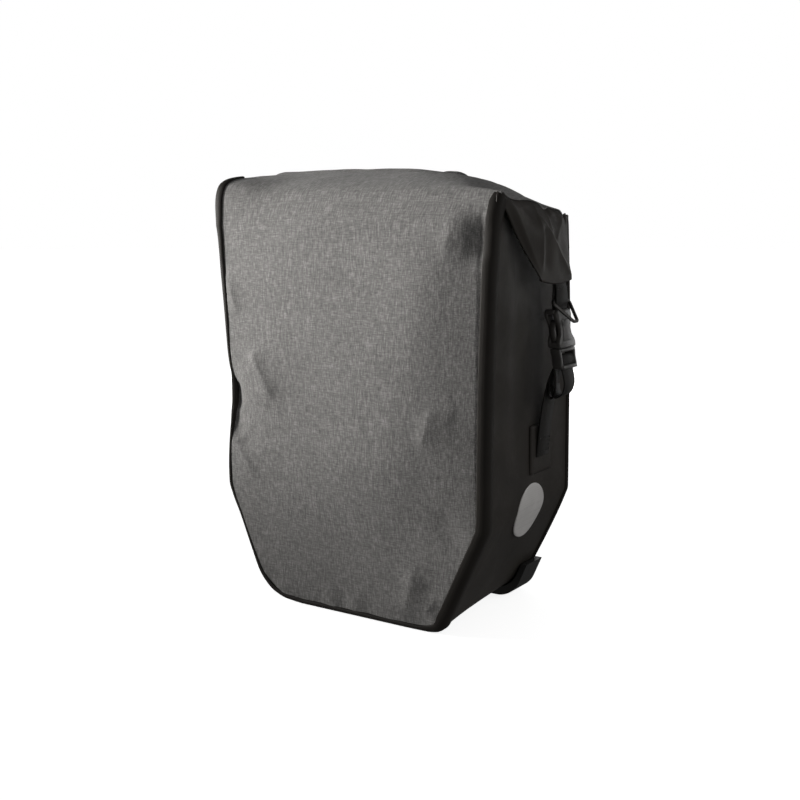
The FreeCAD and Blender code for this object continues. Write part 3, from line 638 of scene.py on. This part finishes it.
EDGE_FOLDS = [
    ((-146, 226), (-143, 200), 8, -3.6), ((-144, 180), (-140, 166), 6, -2.0),
    ((145, 372), (144, 360), 7, -2.0)]


def top_point(x, v):
    """The fabric over the top at x, where v runs from 0 at the face to 1 behind the roll."""
    knots = np.linspace(0, 1, len(TOP_Y))
    left = ease(-x, 95, 156)
    y, z = (curve(knots, middle, v) * (1 - left) + curve(knots, end, v) * left
            for middle, end in ((TOP_Y, LEFT_Y), (TOP_Z, LEFT_Z)))
    # Away from the right end, less of each place's droop is left.
    sag = curve(knots, SAG, v) ** (1 + np.clip(156 - x, 0, 400) / 34)
    z = z - curve(DROOP_X, DROOP, x) * sag
    lumpy = ripple(x, y, 60, 0.7, 9) * ease(v, 0.2, 0.4) * (1 - ease(v, 0.75, 0.9))
    crease = fold(x, y, (20, 92), (150, 92), 3.0, -2.2) * ease(x, 0, 60)
    return y, z + lumpy + crease


def half_outline(half, z):
    """x at each height along one half of an outline, which runs from the bottom up."""
    rising = np.maximum.accumulate(half[:, 1] + 1e-6 * np.arange(len(half)))
    return np.interp(z, rising, half[:, 0])


def side_edges(outline, z):
    """The left and right edge of an outline at each height."""
    dense = smooth_path(outline, 900)
    low = int(np.argmin(np.abs(dense[:, 0])))
    return half_outline(dense[:low][::-1], z), half_outline(dense[low:], z)


def front_fabric():
    """One piece of fabric: up the front, over the shoulder and round the roll."""
    z = np.concatenate([np.linspace(3.2, 40, 24)[:-1], np.linspace(40, TOP_Z[0], 120)])[:, None]
    share = np.linspace(-1, 1, 150)
    # The columns lie closer together near both edges.
    share = np.sign(share) * (1 - (1 - np.abs(share)) ** 1.15)
    left, right = side_edges(FRONT_PATH, z)
    x = (left + right) / 2 + ((right - left) / 2 - FACE_INSET) * share
    z = z + 0 * x
    face = np.stack([x, -front_relief(x, z), z], -1)
    v = np.linspace(0, 1, 76)[1:, None]
    left = curve(EDGE_V, LEFT_EDGE, v) + TOP_INSET
    right = curve(EDGE_V, RIGHT_EDGE, v) - TOP_INSET
    x = (left + right) / 2 + (right - left) / 2 * share
    y, z = top_point(x, v + 0 * x)
    y = y - front_relief(x, TOP_Z[0] + 0 * x) * (1 - ease(v, 0.0, 0.16))
    piece = make_sheet("front_fabric", np.concatenate([face, np.stack([x, y, z], -1)]), MELANGE, 1.0)
    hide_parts("front_panel", "front_collar", "roll")
    blend_top(piece, (0, 20, 397), (0, 95, 428))


def blend_top(piece, start, end):
    """Bakes the piece's placement into its mesh; start and end are converted to metres but not used further.
    """
    start, end = to_metres([start, end])
    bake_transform(piece)


# -------- the binding, sides and back

def outward(path):
    """Unit directions away from the bag, square to an outline that runs left, under, right."""
    run = np.gradient(path, axis=0)
    run /= np.linalg.norm(run, axis=1)[:, None]
    return np.stack([run[:, 1], -run[:, 0]], -1)


# How far the two top corners of the back hang below the line of its top.
TOP_CORNER_DROP = 9


def outlines(count):
    """Matching points round the front and the back outline."""
    t = chord(FRONT_PATH)
    at = np.linspace(0, t[-1], count)
    back = path_at(BACK_PATH, t, at)
    back[:, 1] -= TOP_CORNER_DROP * ease(back[:, 1], 350, 395)
    return path_at(FRONT_PATH, t, at), back


def rim_over_top(edge, v):
    """The edge of the fabric over the shoulder, the way in along its face, and the way out of it."""
    x = curve(EDGE_V, edge, v)
    y, z = top_point(x, v)
    run = np.stack([np.gradient(y), np.gradient(z)], -1) * np.sign(v[-1] - v[0])
    run /= np.linalg.norm(run, axis=1)[:, None]
    flat = 0 * x
    inward = np.stack([flat - np.sign(edge[0]), flat, flat], -1)
    return np.stack([x, y, z], -1), inward, np.stack([flat, -run[:, 1], run[:, 0]], -1)


def rim_round_front():
    """The same along the flat of the front, from the left shoulder round to the right one."""
    dense = smooth_path(FRONT_PATH, 2000)
    dense = dense[dense[:, 1] < TOP_Z[0] - 1]
    t = chord(dense)
    at = np.linspace(0, t[-1], 420)
    path = np.stack([np.interp(at, t, dense[:, i]) for i in range(2)], -1)
    out = outward(path)
    flat = np.zeros(len(path))
    place = np.stack([path[:, 0], flat, path[:, 1]], -1)
    return place, np.stack([-out[:, 0], flat, -out[:, 1]], -1), np.stack([flat, flat - 1, flat], -1)


def rim_width(place):
    """The width of the binding's face, which is uneven where it was welded by hand."""
    x, y, z = place.T
    # On the left: the height, and the width there.
    left = np.interp(z, (28, 48, 127, 186, 206, 226, 255, 305, 364, 384, 402, 412),
                     (5, 3.6, 4, 3.6, 7, 4.6, 3.4, 5.6, 5.8, 8, 9, 9))
    left = left * (1 - 0.75 * ease(y, 18, 42))
    wide = np.where(x < 0, left, 9.6 - 5.5 * ease(y, 5.5, 8.5))
    under = (z < 14) & (np.abs(x) < 97)
    wide = np.where(under, 4.4 + 0.9 * np.sin(x / 7.0), wide)
    reach = 7
    window = 2 * reach + 1
    return np.convolve(np.pad(wide, reach, mode="edge"), np.ones(window) / window, mode="valid")


def edge_binding():
    """The welded strip round the front: a flat face, a rounded rim and a flange on the side."""
    parts = (rim_over_top(LEFT_EDGE, np.linspace(0.40, 0.004, 60)), rim_round_front(),
             rim_over_top(RIGHT_EDGE, np.linspace(0.004, 0.19, 40)))
    place, inward, face = (np.concatenate([part[i] for part in parts]) for i in range(3))
    wide = rim_width(place)
    # On the right the strip is rolled over: its inner edge stands proud of its outer one.
    rolled = 3.2 * ease(place[:, 0], 60, 110)
    # Each line of the strip: its share of the width, how far beyond the rim, how far out of the face.
    shape = [(1.0, 0.0, -1.2), (1.0, 0.0, 0.8), (0.9, 0.0, 1.5), (0.22, 0.0, 1.9), (0.06, 0.0, 1.2),
             (0.0, 0.9, -0.4), (0.0, 1.2, -3.5), (0.0, 1.1, -8.0), (0.0, 0.1, -9.0), (0.0, -1.5, -8.6)]
    loops = []
    for share, proud, high in shape:
        lift = high + rolled * (share - 0.4)
        point = place + inward * (wide * share - proud)[:, None] + face * lift[:, None]
        point[:, 1] -= folds(point[:, 0], point[:, 2], EDGE_FOLDS) * min(1.0, share + 0.5)
        loops.append(point)
    piece = make_tube("edge_binding", np.stack(loops, 1), WELT)
    finish_piece(piece, "bag", "black_tarpaulin", "front_band")


def edge_set_back(x, z):
    """How far the outline leans back near its top corners."""
    return ease(z, 392, 414) * np.where(x < 0, 9.0, 3.0)


def gusset_relief(x, z, t):
    """How far the side fabric stands out from the straight line between front and back."""
    y = t * DEPTH
    hollow = arch(t)
    side = ease(np.abs(x), 60, 120)
    out = -SIDE_HOLLOW * hollow * side + GUSSET_FOLD_SHARE * folds(y, z, GUSSET_FOLDS) * side
    return out + ripple(y, z, 70, 0.9, 12) * hollow ** 0.5


# How far each side is drawn in between front and back, and the share of the folds that it takes.
SIDE_HOLLOW = 1.6
GUSSET_FOLD_SHARE = 0.55
GUSSET_FOLDS = [
    ((14, 398), (34, 376), 6, -2.0), ((6, 372), (40, 374), 3, 1.3), ((34, 376), (60, 340), 10, -2.0),
    ((28, 330), (36, 150), 10, 1.4), ((52, 300), (56, 170), 9, -1.3), ((80, 300), (78, 130), 12, 1.2),
    ((16, 112), (40, 104), 8, -1.8), ((22, 60), (60, 40), 8, 1.6), ((40, 80), (90, 60), 9, -1.5),
    ((120, 220), (140, 130), 12, 1.1), ((30, 18), (80, 20), 9, -1.2)]


def gusset_fabric():
    """The black strip that makes both sides and the bottom in one length."""
    front, back = outlines(300)
    across, high = front.T[:, :, None]
    t = np.linspace(0, 1, 64)
    lines = front.T[:, :, None] * (1 - t) + back.T[:, :, None] * t
    x, z = lines + outward(front).T[:, :, None] * gusset_relief(across, high, t)
    # The top corners are tucked in under the binding and under the folded ends of the roll.
    x = x - np.sign(across) * (7.0 * ease(high, 385, 408) * (0.35 + 0.65 * ease(t * DEPTH, 2, 14)))
    y = 1.5 + t * (DEPTH - 2.0) + edge_set_back(across, high) * (1 - ease(t, 0, 0.2))
    piece = make_sheet("gusset_fabric", np.stack([x, y, z], -1), TARPAULIN, 1.2)
    finish_piece(piece, "bag", "black_tarpaulin", "side_gusset")


def back_fabric():
    """The flat back, held straight by the board inside it, with the board's edge showing."""
    rows = np.linspace(9.2, 392, 120)[:, None]
    half = side_edges(BACK_PATH, rows)[1]
    x = half * np.linspace(-1, 1, 110)
    z = rows + 0 * x
    # Inside the board's edge the fabric is pushed out a little.
    inside = ease(half - 11 - np.abs(x), -4, 0) * ease(z, 14, 22) * (1 - ease(z, 376, 384))
    z = z - TOP_CORNER_DROP * ease(z, 350, 395) * ease(np.abs(x), 95, 140)
    y = DEPTH - 1.2 + 0.9 * inside + ripple(x, z, 60, 0.25, 21)
    piece = make_sheet("back_fabric", np.stack([x, y, z], -1), TARPAULIN, 1.2, flip=True)
    finish_piece(piece, "bag", "black_tarpaulin", "back_panel")


def back_seam():
    """The welded flange where the side strip meets the back."""
    back = outlines(420)[1]
    out = outward(back)
    shape = [(-3.2, -2.5), (0.6, -3.6), (1.7, -2.2), (2.1, -0.2),
             (1.4, 0.9), (-3.0, 0.8), (-8.2, 0.5), (-9.0, -0.8)]
    loops = []
    for proud, deep in shape:
        x, z = (back + out * proud).T
        loops.append(np.stack([x, np.full_like(x, DEPTH + deep), z], -1))
    piece = make_tube("back_seam", np.stack(loops, 1), WELT)
    finish_piece(piece, "bag", "black_tarpaulin")


def roll_stiffener():
    """The plastic strip that the fabric is rolled round, which sags with the roll."""
    x = np.linspace(-150, 150, 60)
    crest = TOP_Y.index(111) / (len(TOP_Y) - 1)
    y, z = top_point(x, np.full_like(x, crest))
    below_crest = 8
    section = [(-9, 0), (-8, 0.7), (8, 0.7), (9, 0), (8, -0.7), (-8, -0.7)]
    loops = np.stack([np.stack([x, y + a, z - below_crest + b], -1) for a, b in section], 1)
    piece = make_tube("roll_stiffener_strip", loops, STIFF)
    finish_piece(piece, "closure", "stiffener_plastic", "roll_stiffener")


def back_collar():
    """The fabric from the top of the back up into the roll."""
    x = np.linspace(-150, 152, 90)
    _, crest = top_point(x, np.full_like(x, 0.93))
    corner = ease(np.abs(x), 105, 145)
    rows = []
    # From the roll down to the back: the share of the way, y, and the drop below the roll's crest.
    for share, y, drop in ((0, 127, 2), (0.12, 133, 7), (0.3, 140, 11), (0.55, 151, 14),
                           (0.8, 161, 15), (1, 165.5, 17)):
        z = (crest - drop) * (1 - share) + (393 - 6 * share - TOP_CORNER_DROP * corner) * share
        rows.append((x * (1 - 0.035 * share), y + 0 * x, z))
    rows.append((x * 0.963, 165.4 + 0 * x, 378 - 8 * corner))
    fine = np.linspace(0, 1, 40)
    coarse = np.reshape(rows, (len(rows), -1))
    x, y, z = path_at(coarse, np.linspace(0, 1, len(rows)), fine).reshape(len(fine), 3, -1).transpose(1, 0, 2)
    z = z + ripple(x, y, 55, 1.2, 31) * arch(fine)[:, None]
    piece = make_sheet("back_collar_fabric", np.stack([x, y, z], -1), TARPAULIN, 1.2)
    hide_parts("back_collar")
    blend_top(piece, (0, 162, 388), (0, 133, 414))


def collar_side(name, side):
    """The side fabric of the collar, tucked in under the rolled end."""
    y = np.linspace(4, 163, 60)
    knots = np.linspace(0, 1, 240)
    end = SHEET_END * side
    top_y, top_z = top_point(np.full_like(knots, end - 5 * side), knots)
    roof = np.interp(y, top_y[:200], top_z[:200]) - 2.5
    roof = np.minimum(roof, 393 + (roof - 393) * (1 - ease(y, 128, 160)))
    rows = []
    for t in np.linspace(0, 1, 16):
        x = side * (153.5 - 5.5 * t - 6 * (y / DEPTH) * (1 - t))
        z = (395 - 7 * y / DEPTH) * (1 - t) + roof * t - 5 * arch(t)
        rows.append(np.stack([x, y, z], -1))
    piece = make_sheet("collar_side_" + name, np.stack(rows), TARPAULIN, 1.0, flip=side < 0)
    blend_top(piece, (153 * side, 80, 393), (148.5 * side, 80, 397))


# -------- the folded ends of the roll

FLAP_FOLDS = [
    ((26, 396), (58, 372), 9, 2.0), ((44, 397), (62, 388), 6, -1.6), ((72, 372), (76, 346), 5, -1.8),
    ((104, 350), (112, 338), 8, -1.0)]
FLAP_CREASES = [
    ((66, 340), (64, 402), 4.5, 16, 2.4), ((128, 331), (62, 392), 13, 3.0, 2.6),
    ((94, 362), (124, 391), 4.0, 9, 1.1), ((90, 370), (82, 396), 4, 7, 1.5),
    ((30, 395), (70, 400), 6, 6, 0.8)]


def flap_fabric(name, side):
    """The end of the roll, folded down over the side and gathered towards its strap."""
    u = np.linspace(0, 1, 110)
    v = u[:, None]
    edge_y = curve((0, 0.14, 0.3, 0.48, 0.6, 0.8, 1), (5, 19, 40, 63, 82, 112, 140), u)
    knots = np.linspace(0, 0.93, 300)
    top_y, top_z = top_point(np.full_like(knots, SHEET_END * side), knots)
    back = ease(edge_y, 118, 138)
    roof = (np.interp(edge_y, top_y, top_z) + 0.2) * (1 - back) + 391.0 * back
    # Lines from under the roll's end, along u, down to the hem, along v.
    y = edge_y * (1 - v) + (64 + 62 * u) * v - 4 * u ** 4 * arch(v ** 0.5)
    z = (roof - 0.8) * (1 - v) + (330.5 - 3 * arch(u) - 1.5 * u) * v
    relief = (folds(y, z, FLAP_FOLDS) + creases(y, z, FLAP_CREASES)) * ease(v, 0.0, 0.1)
    relief = 1.35 * relief + ripple(y, z, 60, 0.5, 40) * arch(v)
    shoulder = 4.6 * (1 - np.exp(-v / 0.07)) * (1 - v) ** 1.3
    x = 156.5 * (1 - v) + 171.0 * v + shoulder + 2.0 * arch(v) * arch(u) ** 0.7
    x = x + relief * (1 - 0.6 * ease(v, 0.88, 1.0))
    # Both side edges turn in towards the bag.
    edge = np.exp(-(u / 0.05) ** 2) + 0.4 * np.exp(-((1 - u) / 0.03) ** 2)
    x = x - 3.2 * edge * arch(np.clip(v * 1.02, 0, 1) ** 0.8)
    points = np.stack([x, y, z], -1)
    points = np.concatenate([points, hem_rows(points[-1])]) * (side, 1, 1)
    piece = make_sheet("flap_fabric_" + name, points, TARPAULIN, 1.5, flip=side > 0)
    finish_piece(piece, "closure", "black_tarpaulin", "flap_" + name)


def hem_rows(edge):
    """The lower edge folded under, towards the bag."""
    rows = []
    mid = edge[:, 1].mean()
    for x, z, squeeze in ((-0.3, -1.0, 1.0), (-1.3, -1.5, 0.99), (-2.6, -0.8, 0.98),
                          (-3.4, 2.5, 0.95), (-4.0, 9, 0.85)):
        row = edge + (x, 0, z)
        row[:, 1] = mid + (row[:, 1] - mid) * squeeze
        rows.append(row)
    return np.stack(rows)


def flap_strap(name, side):
    """Doubled webbing from under the flap, round the ring's bar and the buckle's bar."""
    near, far, _, base, lid = side_box("flap_webbing_" + name)
    x_out = far - 0.6
    x_in = near + 1.2
    top = lid + 8
    path = smooth_path([
        (x_out - 6.5, top), (x_out - 4.0, top - 8), (x_out - 0.6, lid - 9), (x_out + 0.2, base + 7),
        (x_out - 0.9, base + 1.5), ((x_out + x_in) / 2, base - 1.2), (x_in + 0.2, base + 2),
        (x_in, base + 8), (x_in, lid - 10), (x_in - 1.5, top - 4)], 70)
    turn = -0.12 * ease(path[:, 1], base + 4, top) * np.linspace(1, 0.3, len(path))
    piece = ribbon("flap_strap_" + name, side, path, STRAP_Y, STRAP_WIDE, 1.6, turn)
    finish_piece(piece, "closure", "black_webbing", "flap_webbing_" + name)
    rows = [seam_across(side * (x_out + 1.0), lid - drop) for drop in (7.5, 9.5)]
    finish_piece(stitches("flap_stitches_" + name, rows, 2.2, 0.28), "closure", "black_webbing")


# -------- buckles and the lower straps

# Half the length of a row of stitches across a strap.
SEAM_HALF = 10.5


def seam_across(x, z):
    return [(x, STRAP_Y - SEAM_HALF, z), (x, STRAP_Y + SEAM_HALF, z)]


def mirror_y(half, insets):
    """A closed outline from its high-y half: points (inset from half, z), from the top down."""
    reach = [(half - inset, z) for inset, z in insets]
    return [(STRAP_Y + y, z) for y, z in reach] + [(STRAP_Y - y, z) for y, z in reach[::-1]]


def plates(name, side, body, node, half, parts):
    """Plates of one buckle half, each (label, insets, x, x, bevel). The first replaces the node."""
    for i, (label, insets, x_in, x_out, bevel) in enumerate(parts):
        piece = slab("%s_%s" % (label, name), mirror_y(half, insets), side * x_in, side * x_out, bevel)
        finish_piece(piece, body, "black_plastic", *([node] if i == 0 else []))


def socket_body(name, side):
    """The upper half of the side-release buckle: two waisted shells over the prongs, and a bar."""
    node = "buckle_socket_" + name
    near, far, wide, base, top = side_box(node)
    shell = [
        (5, top), (2, top - 1.5), (1.2, top - 5), (2.2, top - 9), (5.0, top - 13.5), (6.4, top - 18),
        (5.4, top - 23), (1.4, top - 27.5), (0.2, top - 30), (0.2, base + 1), (2, base)]
    core = [(9, top - 10), (9, base + 2)]
    mouth = [(0.3, base + 5.5), (0.3, base)]
    boss = [(10, top - 9), (10.5, top - 20), (8, top - 29)]
    bar = [(1.4, top), (1.4, top - 4.2)]
    plates(name, side, "closure", node, wide / 2, [
        ("socket_face", shell, far - 4.2, far, 1.1), ("socket_plate", shell, near, near + 3.2, 0.8),
        ("socket_core", core, near + 3, far - 4, 0.4), ("socket_mouth", mouth, near + 0.6, far - 0.8, 0.9),
        ("socket_boss", boss, far - 0.8, far + 0.7, 0.6), ("socket_bar", bar, near + 2.2, far - 2.6, 0.9)])


def prong(name, side, label, near, far, top, half):
    """One sprung prong of the lower half, whose pad shows in the socket's side window."""
    drop = np.array([38, 33, 29, 24, 18, 13, 10])
    inset = np.array([4.5, 3.8, 2.6, 1.0, 1.4, 4.0, 7.5])
    wide = (3.4, 3.0, 3.2, 4.2, 4.0, 3.2, 2.2)
    height = np.linspace(top - drop[0], top - drop[-1], 26)
    thick = curve(top - drop, wide, height)
    centre = curve(top - drop, half - inset, height) - thick / 2
    angle = math.tau * np.arange(14) / 14
    # A square section with rounded corners.
    across, deep = (np.sign(turn) * np.abs(turn) ** 0.55 for turn in (np.cos(angle), np.sin(angle)))
    x = side * ((far + near) / 2 - 0.2 + deep * ((far - near) / 2 - 3.0))
    loops = []
    for z, y, full in zip(height, centre, thick):
        y = STRAP_Y + WAYS[label] * (y + across * full / 2)
        loops.append(np.stack([leaning(x, z), y, z + 0 * y], -1))
    finish_piece(make_tube("prong_%s_%s" % (name, label), loops, BUCKLE), "bag", "black_plastic")


def male_body(name, side):
    """The lower half of the buckle: a ladder frame with three bars, and the prongs above it."""
    node = "buckle_male_" + name
    near, far, _, base, _ = side_box(node)
    _, _, wide, joint, top = side_box("buckle_socket_" + name)
    half = wide / 2
    for label, way in WAYS.items():
        rail = [(STRAP_Y + way * (half - inset), z) for inset, z in (
            (4.2, joint - 0.4), (0.4, joint - 0.4), (0.2, joint - 4), (1.2, joint - 9),
            (0.3, base + 4), (1.4, base), (4.4, base))]
        piece = slab("male_rail_%s_%s" % (name, label), rail, side * (near + 0.6), side * (far - 0.2), 1.0)
        finish_piece(piece, "bag", "black_plastic")
        prong(name, side, label, near, far, top, half)
    plates(name, side, "bag", node, half, [
        (label, [(2.5, z + tall / 2), (2.5, z - tall / 2)], x_in, x_out, 1.0)
        for label, z, tall, x_in, x_out in (("male_head", joint - 2.0, 3.4, near + 1, far + 0.4),
                                            ("male_bar", base + 9.6, 3.0, near + 4.2, far - 4.0),
                                            ("male_foot", base + 1.9, 3.6, far - 2.4, far + 0.8))])


def lower_strap(name, side):
    """The webbing from the side patch up to the ladder, round it, and its loose end."""
    base = side_box("lower_strap_" + name)[3]
    foot = side_box("buckle_male_" + name)[3]
    path = smooth_path([
        (153.8, base - 3), (154.6, base + 8), (157.2, base + 34), (161.0, base + 58), (166.5, foot - 6),
        (170.8, foot + 4), (172.0, foot + 9.5), (174.6, foot + 12.9), (177.8, foot + 11.2), (179.0, foot + 6),
        (177.9, foot + 0.5), (179.6, foot - 7), (180.6, foot - 14), (179.2, foot - 21), (175.2, foot - 26),
        (170.4, foot - 27.5), (167.0, foot - 24), (166.2, foot - 17)], 140)
    turn = np.interp(np.linspace(0, 1, 140), (0, 0.6, 0.8, 1), (0, 0, -0.05, -0.16))
    piece = ribbon("lower_strap_web_" + name, side, path, STRAP_Y, STRAP_WIDE - 0.4, 1.5, turn)
    finish_piece(piece, "bag", "black_webbing", "lower_strap_" + name)
    tail = smooth_path([
        (170.0, foot), (171.0, foot - 8), (171.2, foot - 19), (169.2, foot - 26.5), (166.4, foot - 28.5),
        (164.2, foot - 25), (164.0, foot - 14)], 50)
    piece = ribbon("strap_tail_" + name, side, tail, STRAP_Y - 9, 13, 1.4, np.linspace(-0.25, -0.5, 50))
    finish_piece(piece, "bag", "black_webbing")
    # A sewn box: two rows across the strap, and two along it that lean out with the side.
    low, high = base + 1.5, base + 15
    rows = [seam_across(side * 155.4, low), seam_across(side * 156.3, high)]
    for y in (STRAP_Y - SEAM_HALF, STRAP_Y + SEAM_HALF):
        rows.append([(side * 155.2, y, low), (side * 156.3, y, high)])
    finish_piece(stitches("strap_stitches_" + name, rows, 2.2, 0.3), "bag", "black_webbing")


# The points of both outlines up the right side, from below the knee to the shoulder.
SIDE_RUN = slice(28, 36)


def side_x(y, z):
    """The outside of the side fabric at a place on it, without its folds."""
    t = y / DEPTH
    front, back = (np.interp(z, path[SIDE_RUN, 1], path[SIDE_RUN, 0]) for path in (FRONT_PATH, BACK_PATH))
    return front * (1 - t) + back * t


def side_patch(name, side):
    """A rectangle of the same fabric welded on, which the strap is sewn to."""
    low, high = box_mm("strap_patch_" + name)
    y = np.linspace(low[1] - 2, high[1] + 1, 30)
    z = np.linspace(low[2] - 3, high[2] + 1, 34)
    grid_y, grid_z = np.meshgrid(y, z)
    edge = np.minimum.reduce([grid_y - y[0], y[-1] - grid_y, grid_z - z[0], z[-1] - grid_z])
    lift = 0.1 + 1.25 * ease(edge, 0, 1.6) - 0.35 * np.exp(-((edge - 3.2) / 0.8) ** 2)
    x = side_x(grid_y, grid_z) - SIDE_HOLLOW * arch(grid_y / DEPTH) + lift + 0.6
    points = np.stack([side * x, grid_y, grid_z], -1)
    piece = make_sheet("patch_fabric_" + name, points, TARPAULIN, 0.9, flip=side > 0)
    finish_piece(piece, "bag", "black_tarpaulin", "strap_patch_" + name)


def side_badge(name, side):
    """A plain round reflector, bent over the lower side with the fabric."""
    low, high = box_mm("side_badge_" + name)
    middle = (low + high) / 2
    radius = (high[1] - low[1]) / 2
    angle = np.linspace(0, math.tau, 72, endpoint=False)
    loops = []
    # Each ring: its share of the radius, and how far it stands off the fabric.
    for share, lift in ((0.25, 1.2), (0.5, 1.2), (0.75, 1.2), (0.9, 1.2), (0.965, 1.15),
                        (1, 0.8), (1, -0.4)):
        y = middle[1] + share * radius * np.cos(angle)
        z = middle[2] + share * radius * np.sin(angle)
        loops.append(np.stack([side * (badge_x(y, z) + lift), y, z], -1))
    piece = make_tube("reflector_disc_" + name, np.stack(loops), REFLECTOR)
    finish_piece(piece, "bag", "reflector_grey", "side_badge_" + name)


def badge_x(y, z):
    """The side fabric round the badge, rounded over the knee."""
    soft = sum(side_x(y, z + step) for step in (-9, -4.5, 0, 4.5, 9)) / 5
    return soft - 1.2 * arch(y / DEPTH)


# -------- CAD pieces that keep their shape

def dress_cad_nodes():
    """Materials and softened edges for the rails, hooks, handle, feet and rings."""
    slots = {part["node"]: part["material_slot"] for part in frame["record"]["subparts"]}
    edges = {"black_plastic": 0.7, "stiffener_plastic": 0.8, "aluminium_rail": 0.5, "steel_screws": 0.3}
    for name, piece in frame["nodes"].items():
        slot = slots.get(name, "black_plastic")
        if slot in ("melange_fabric", "black_tarpaulin", "black_webbing") and piece.hide_render:
            continue
        piece.data.materials.clear()
        piece.data.materials.append(RUBBER if name.startswith("corner_foot") else BY_SLOT[slot])
        if slot in edges:
            round_edges(piece, edges[slot], 2)


# -------- stage, light and camera

def area_light(name, place, target, power, size):
    data = bpy.data.lights.new(name, "AREA")
    data.energy = power
    data.shape = "RECTANGLE"
    data.size, data.size_y = size
    light = new_object(name, data)
    light.location = place
    light.rotation_euler = (Vector(target) - Vector(place)).to_track_quat("-Z", "Y").to_euler()
    return data


def backdrop_material():
    """A plain white glow behind everything."""
    n = Nodes("studio_backdrop", 1.0, 0.0)
    n.shine(Base_Color=(0, 0, 0, 1), Emission_Color=(1, 1, 1, 1), Emission_Strength=1.0)
    return n.material


def make_stage():
    """A pale floor that brightens into a white backdrop, lit mostly from the left."""
    bpy.ops.mesh.primitive_plane_add(size=24.0)
    floor = bpy.context.object
    bpy.ops.mesh.primitive_uv_sphere_add(radius=11.0, segments=48, ring_count=24)
    dome = bpy.context.object
    dome.visible_shadow = False
    for thing, material in ((floor, floor_material()), (dome, backdrop_material())):
        thing.name = material.name
        thing.data.materials.append(material)
        thing.visible_diffuse = False
        thing.visible_glossy = False
    world = bpy.data.worlds.new("studio")
    world.use_nodes = True
    set_inputs(world.node_tree.nodes["Background"], {"Color": (1, 1, 1, 1), "Strength": 0.14})
    bpy.context.scene.world = world
    key = area_light("key", (-1.53, -0.80, 0.53), (0.0, -0.102, 0.39), 2.36, (0.35, 0.35))
    key.color = (1, 0.99, 0.97)
    key.spread = 0.57
    area_light("side_fill", (1.25, 0.75, 0.6), (0.15, 0, 0.25), 3.0, (0.5, 0.5))
    area_light("front_fill", (1.5, -0.9, 0.5), (0.15, 0, 0.25), 2.6, (0.9, 0.9))
    area_light("edge_fill", (0.25, 1.7, 0.3), (0.1, 0, 0.25), 2.0, (0.7, 0.5))
    area_light("back_fill", (-0.9, 1.5, 0.2), (0, 0, 0.2), 7, (1.0, 0.6))
    area_light("left_fill", (-1.5, 0.7, 0.2), (0, 0, 0.2), 4, (0.9, 0.6))
    bpy.context.scene.view_settings.view_transform = "Standard"


def make_camera():
    azimuth = math.radians(33.42)
    elevation = math.radians(9.17)
    data = bpy.data.cameras.new("camera")
    data.lens = 53.26
    data.clip_start = 0.01
    camera = new_object("camera", data)
    camera.location = (0.6548, -1.0061, 0.3941)
    camera.rotation_euler = (math.pi / 2 - elevation, 0, azimuth)
    bpy.context.scene.camera = camera


def build():
    make_stage()
    make_camera()
    front_fabric()
    edge_binding()
    gusset_fabric()
    back_fabric()
    back_seam()
    roll_stiffener()
    back_collar()
    for name, side in SIDES.items():
        collar_side(name, side)
        flap_fabric(name, side)
        flap_strap(name, side)
        socket_body(name, side)
        male_body(name, side)
        lower_strap(name, side)
        side_patch(name, side)
        side_badge(name, side)
    dress_cad_nodes()


build()
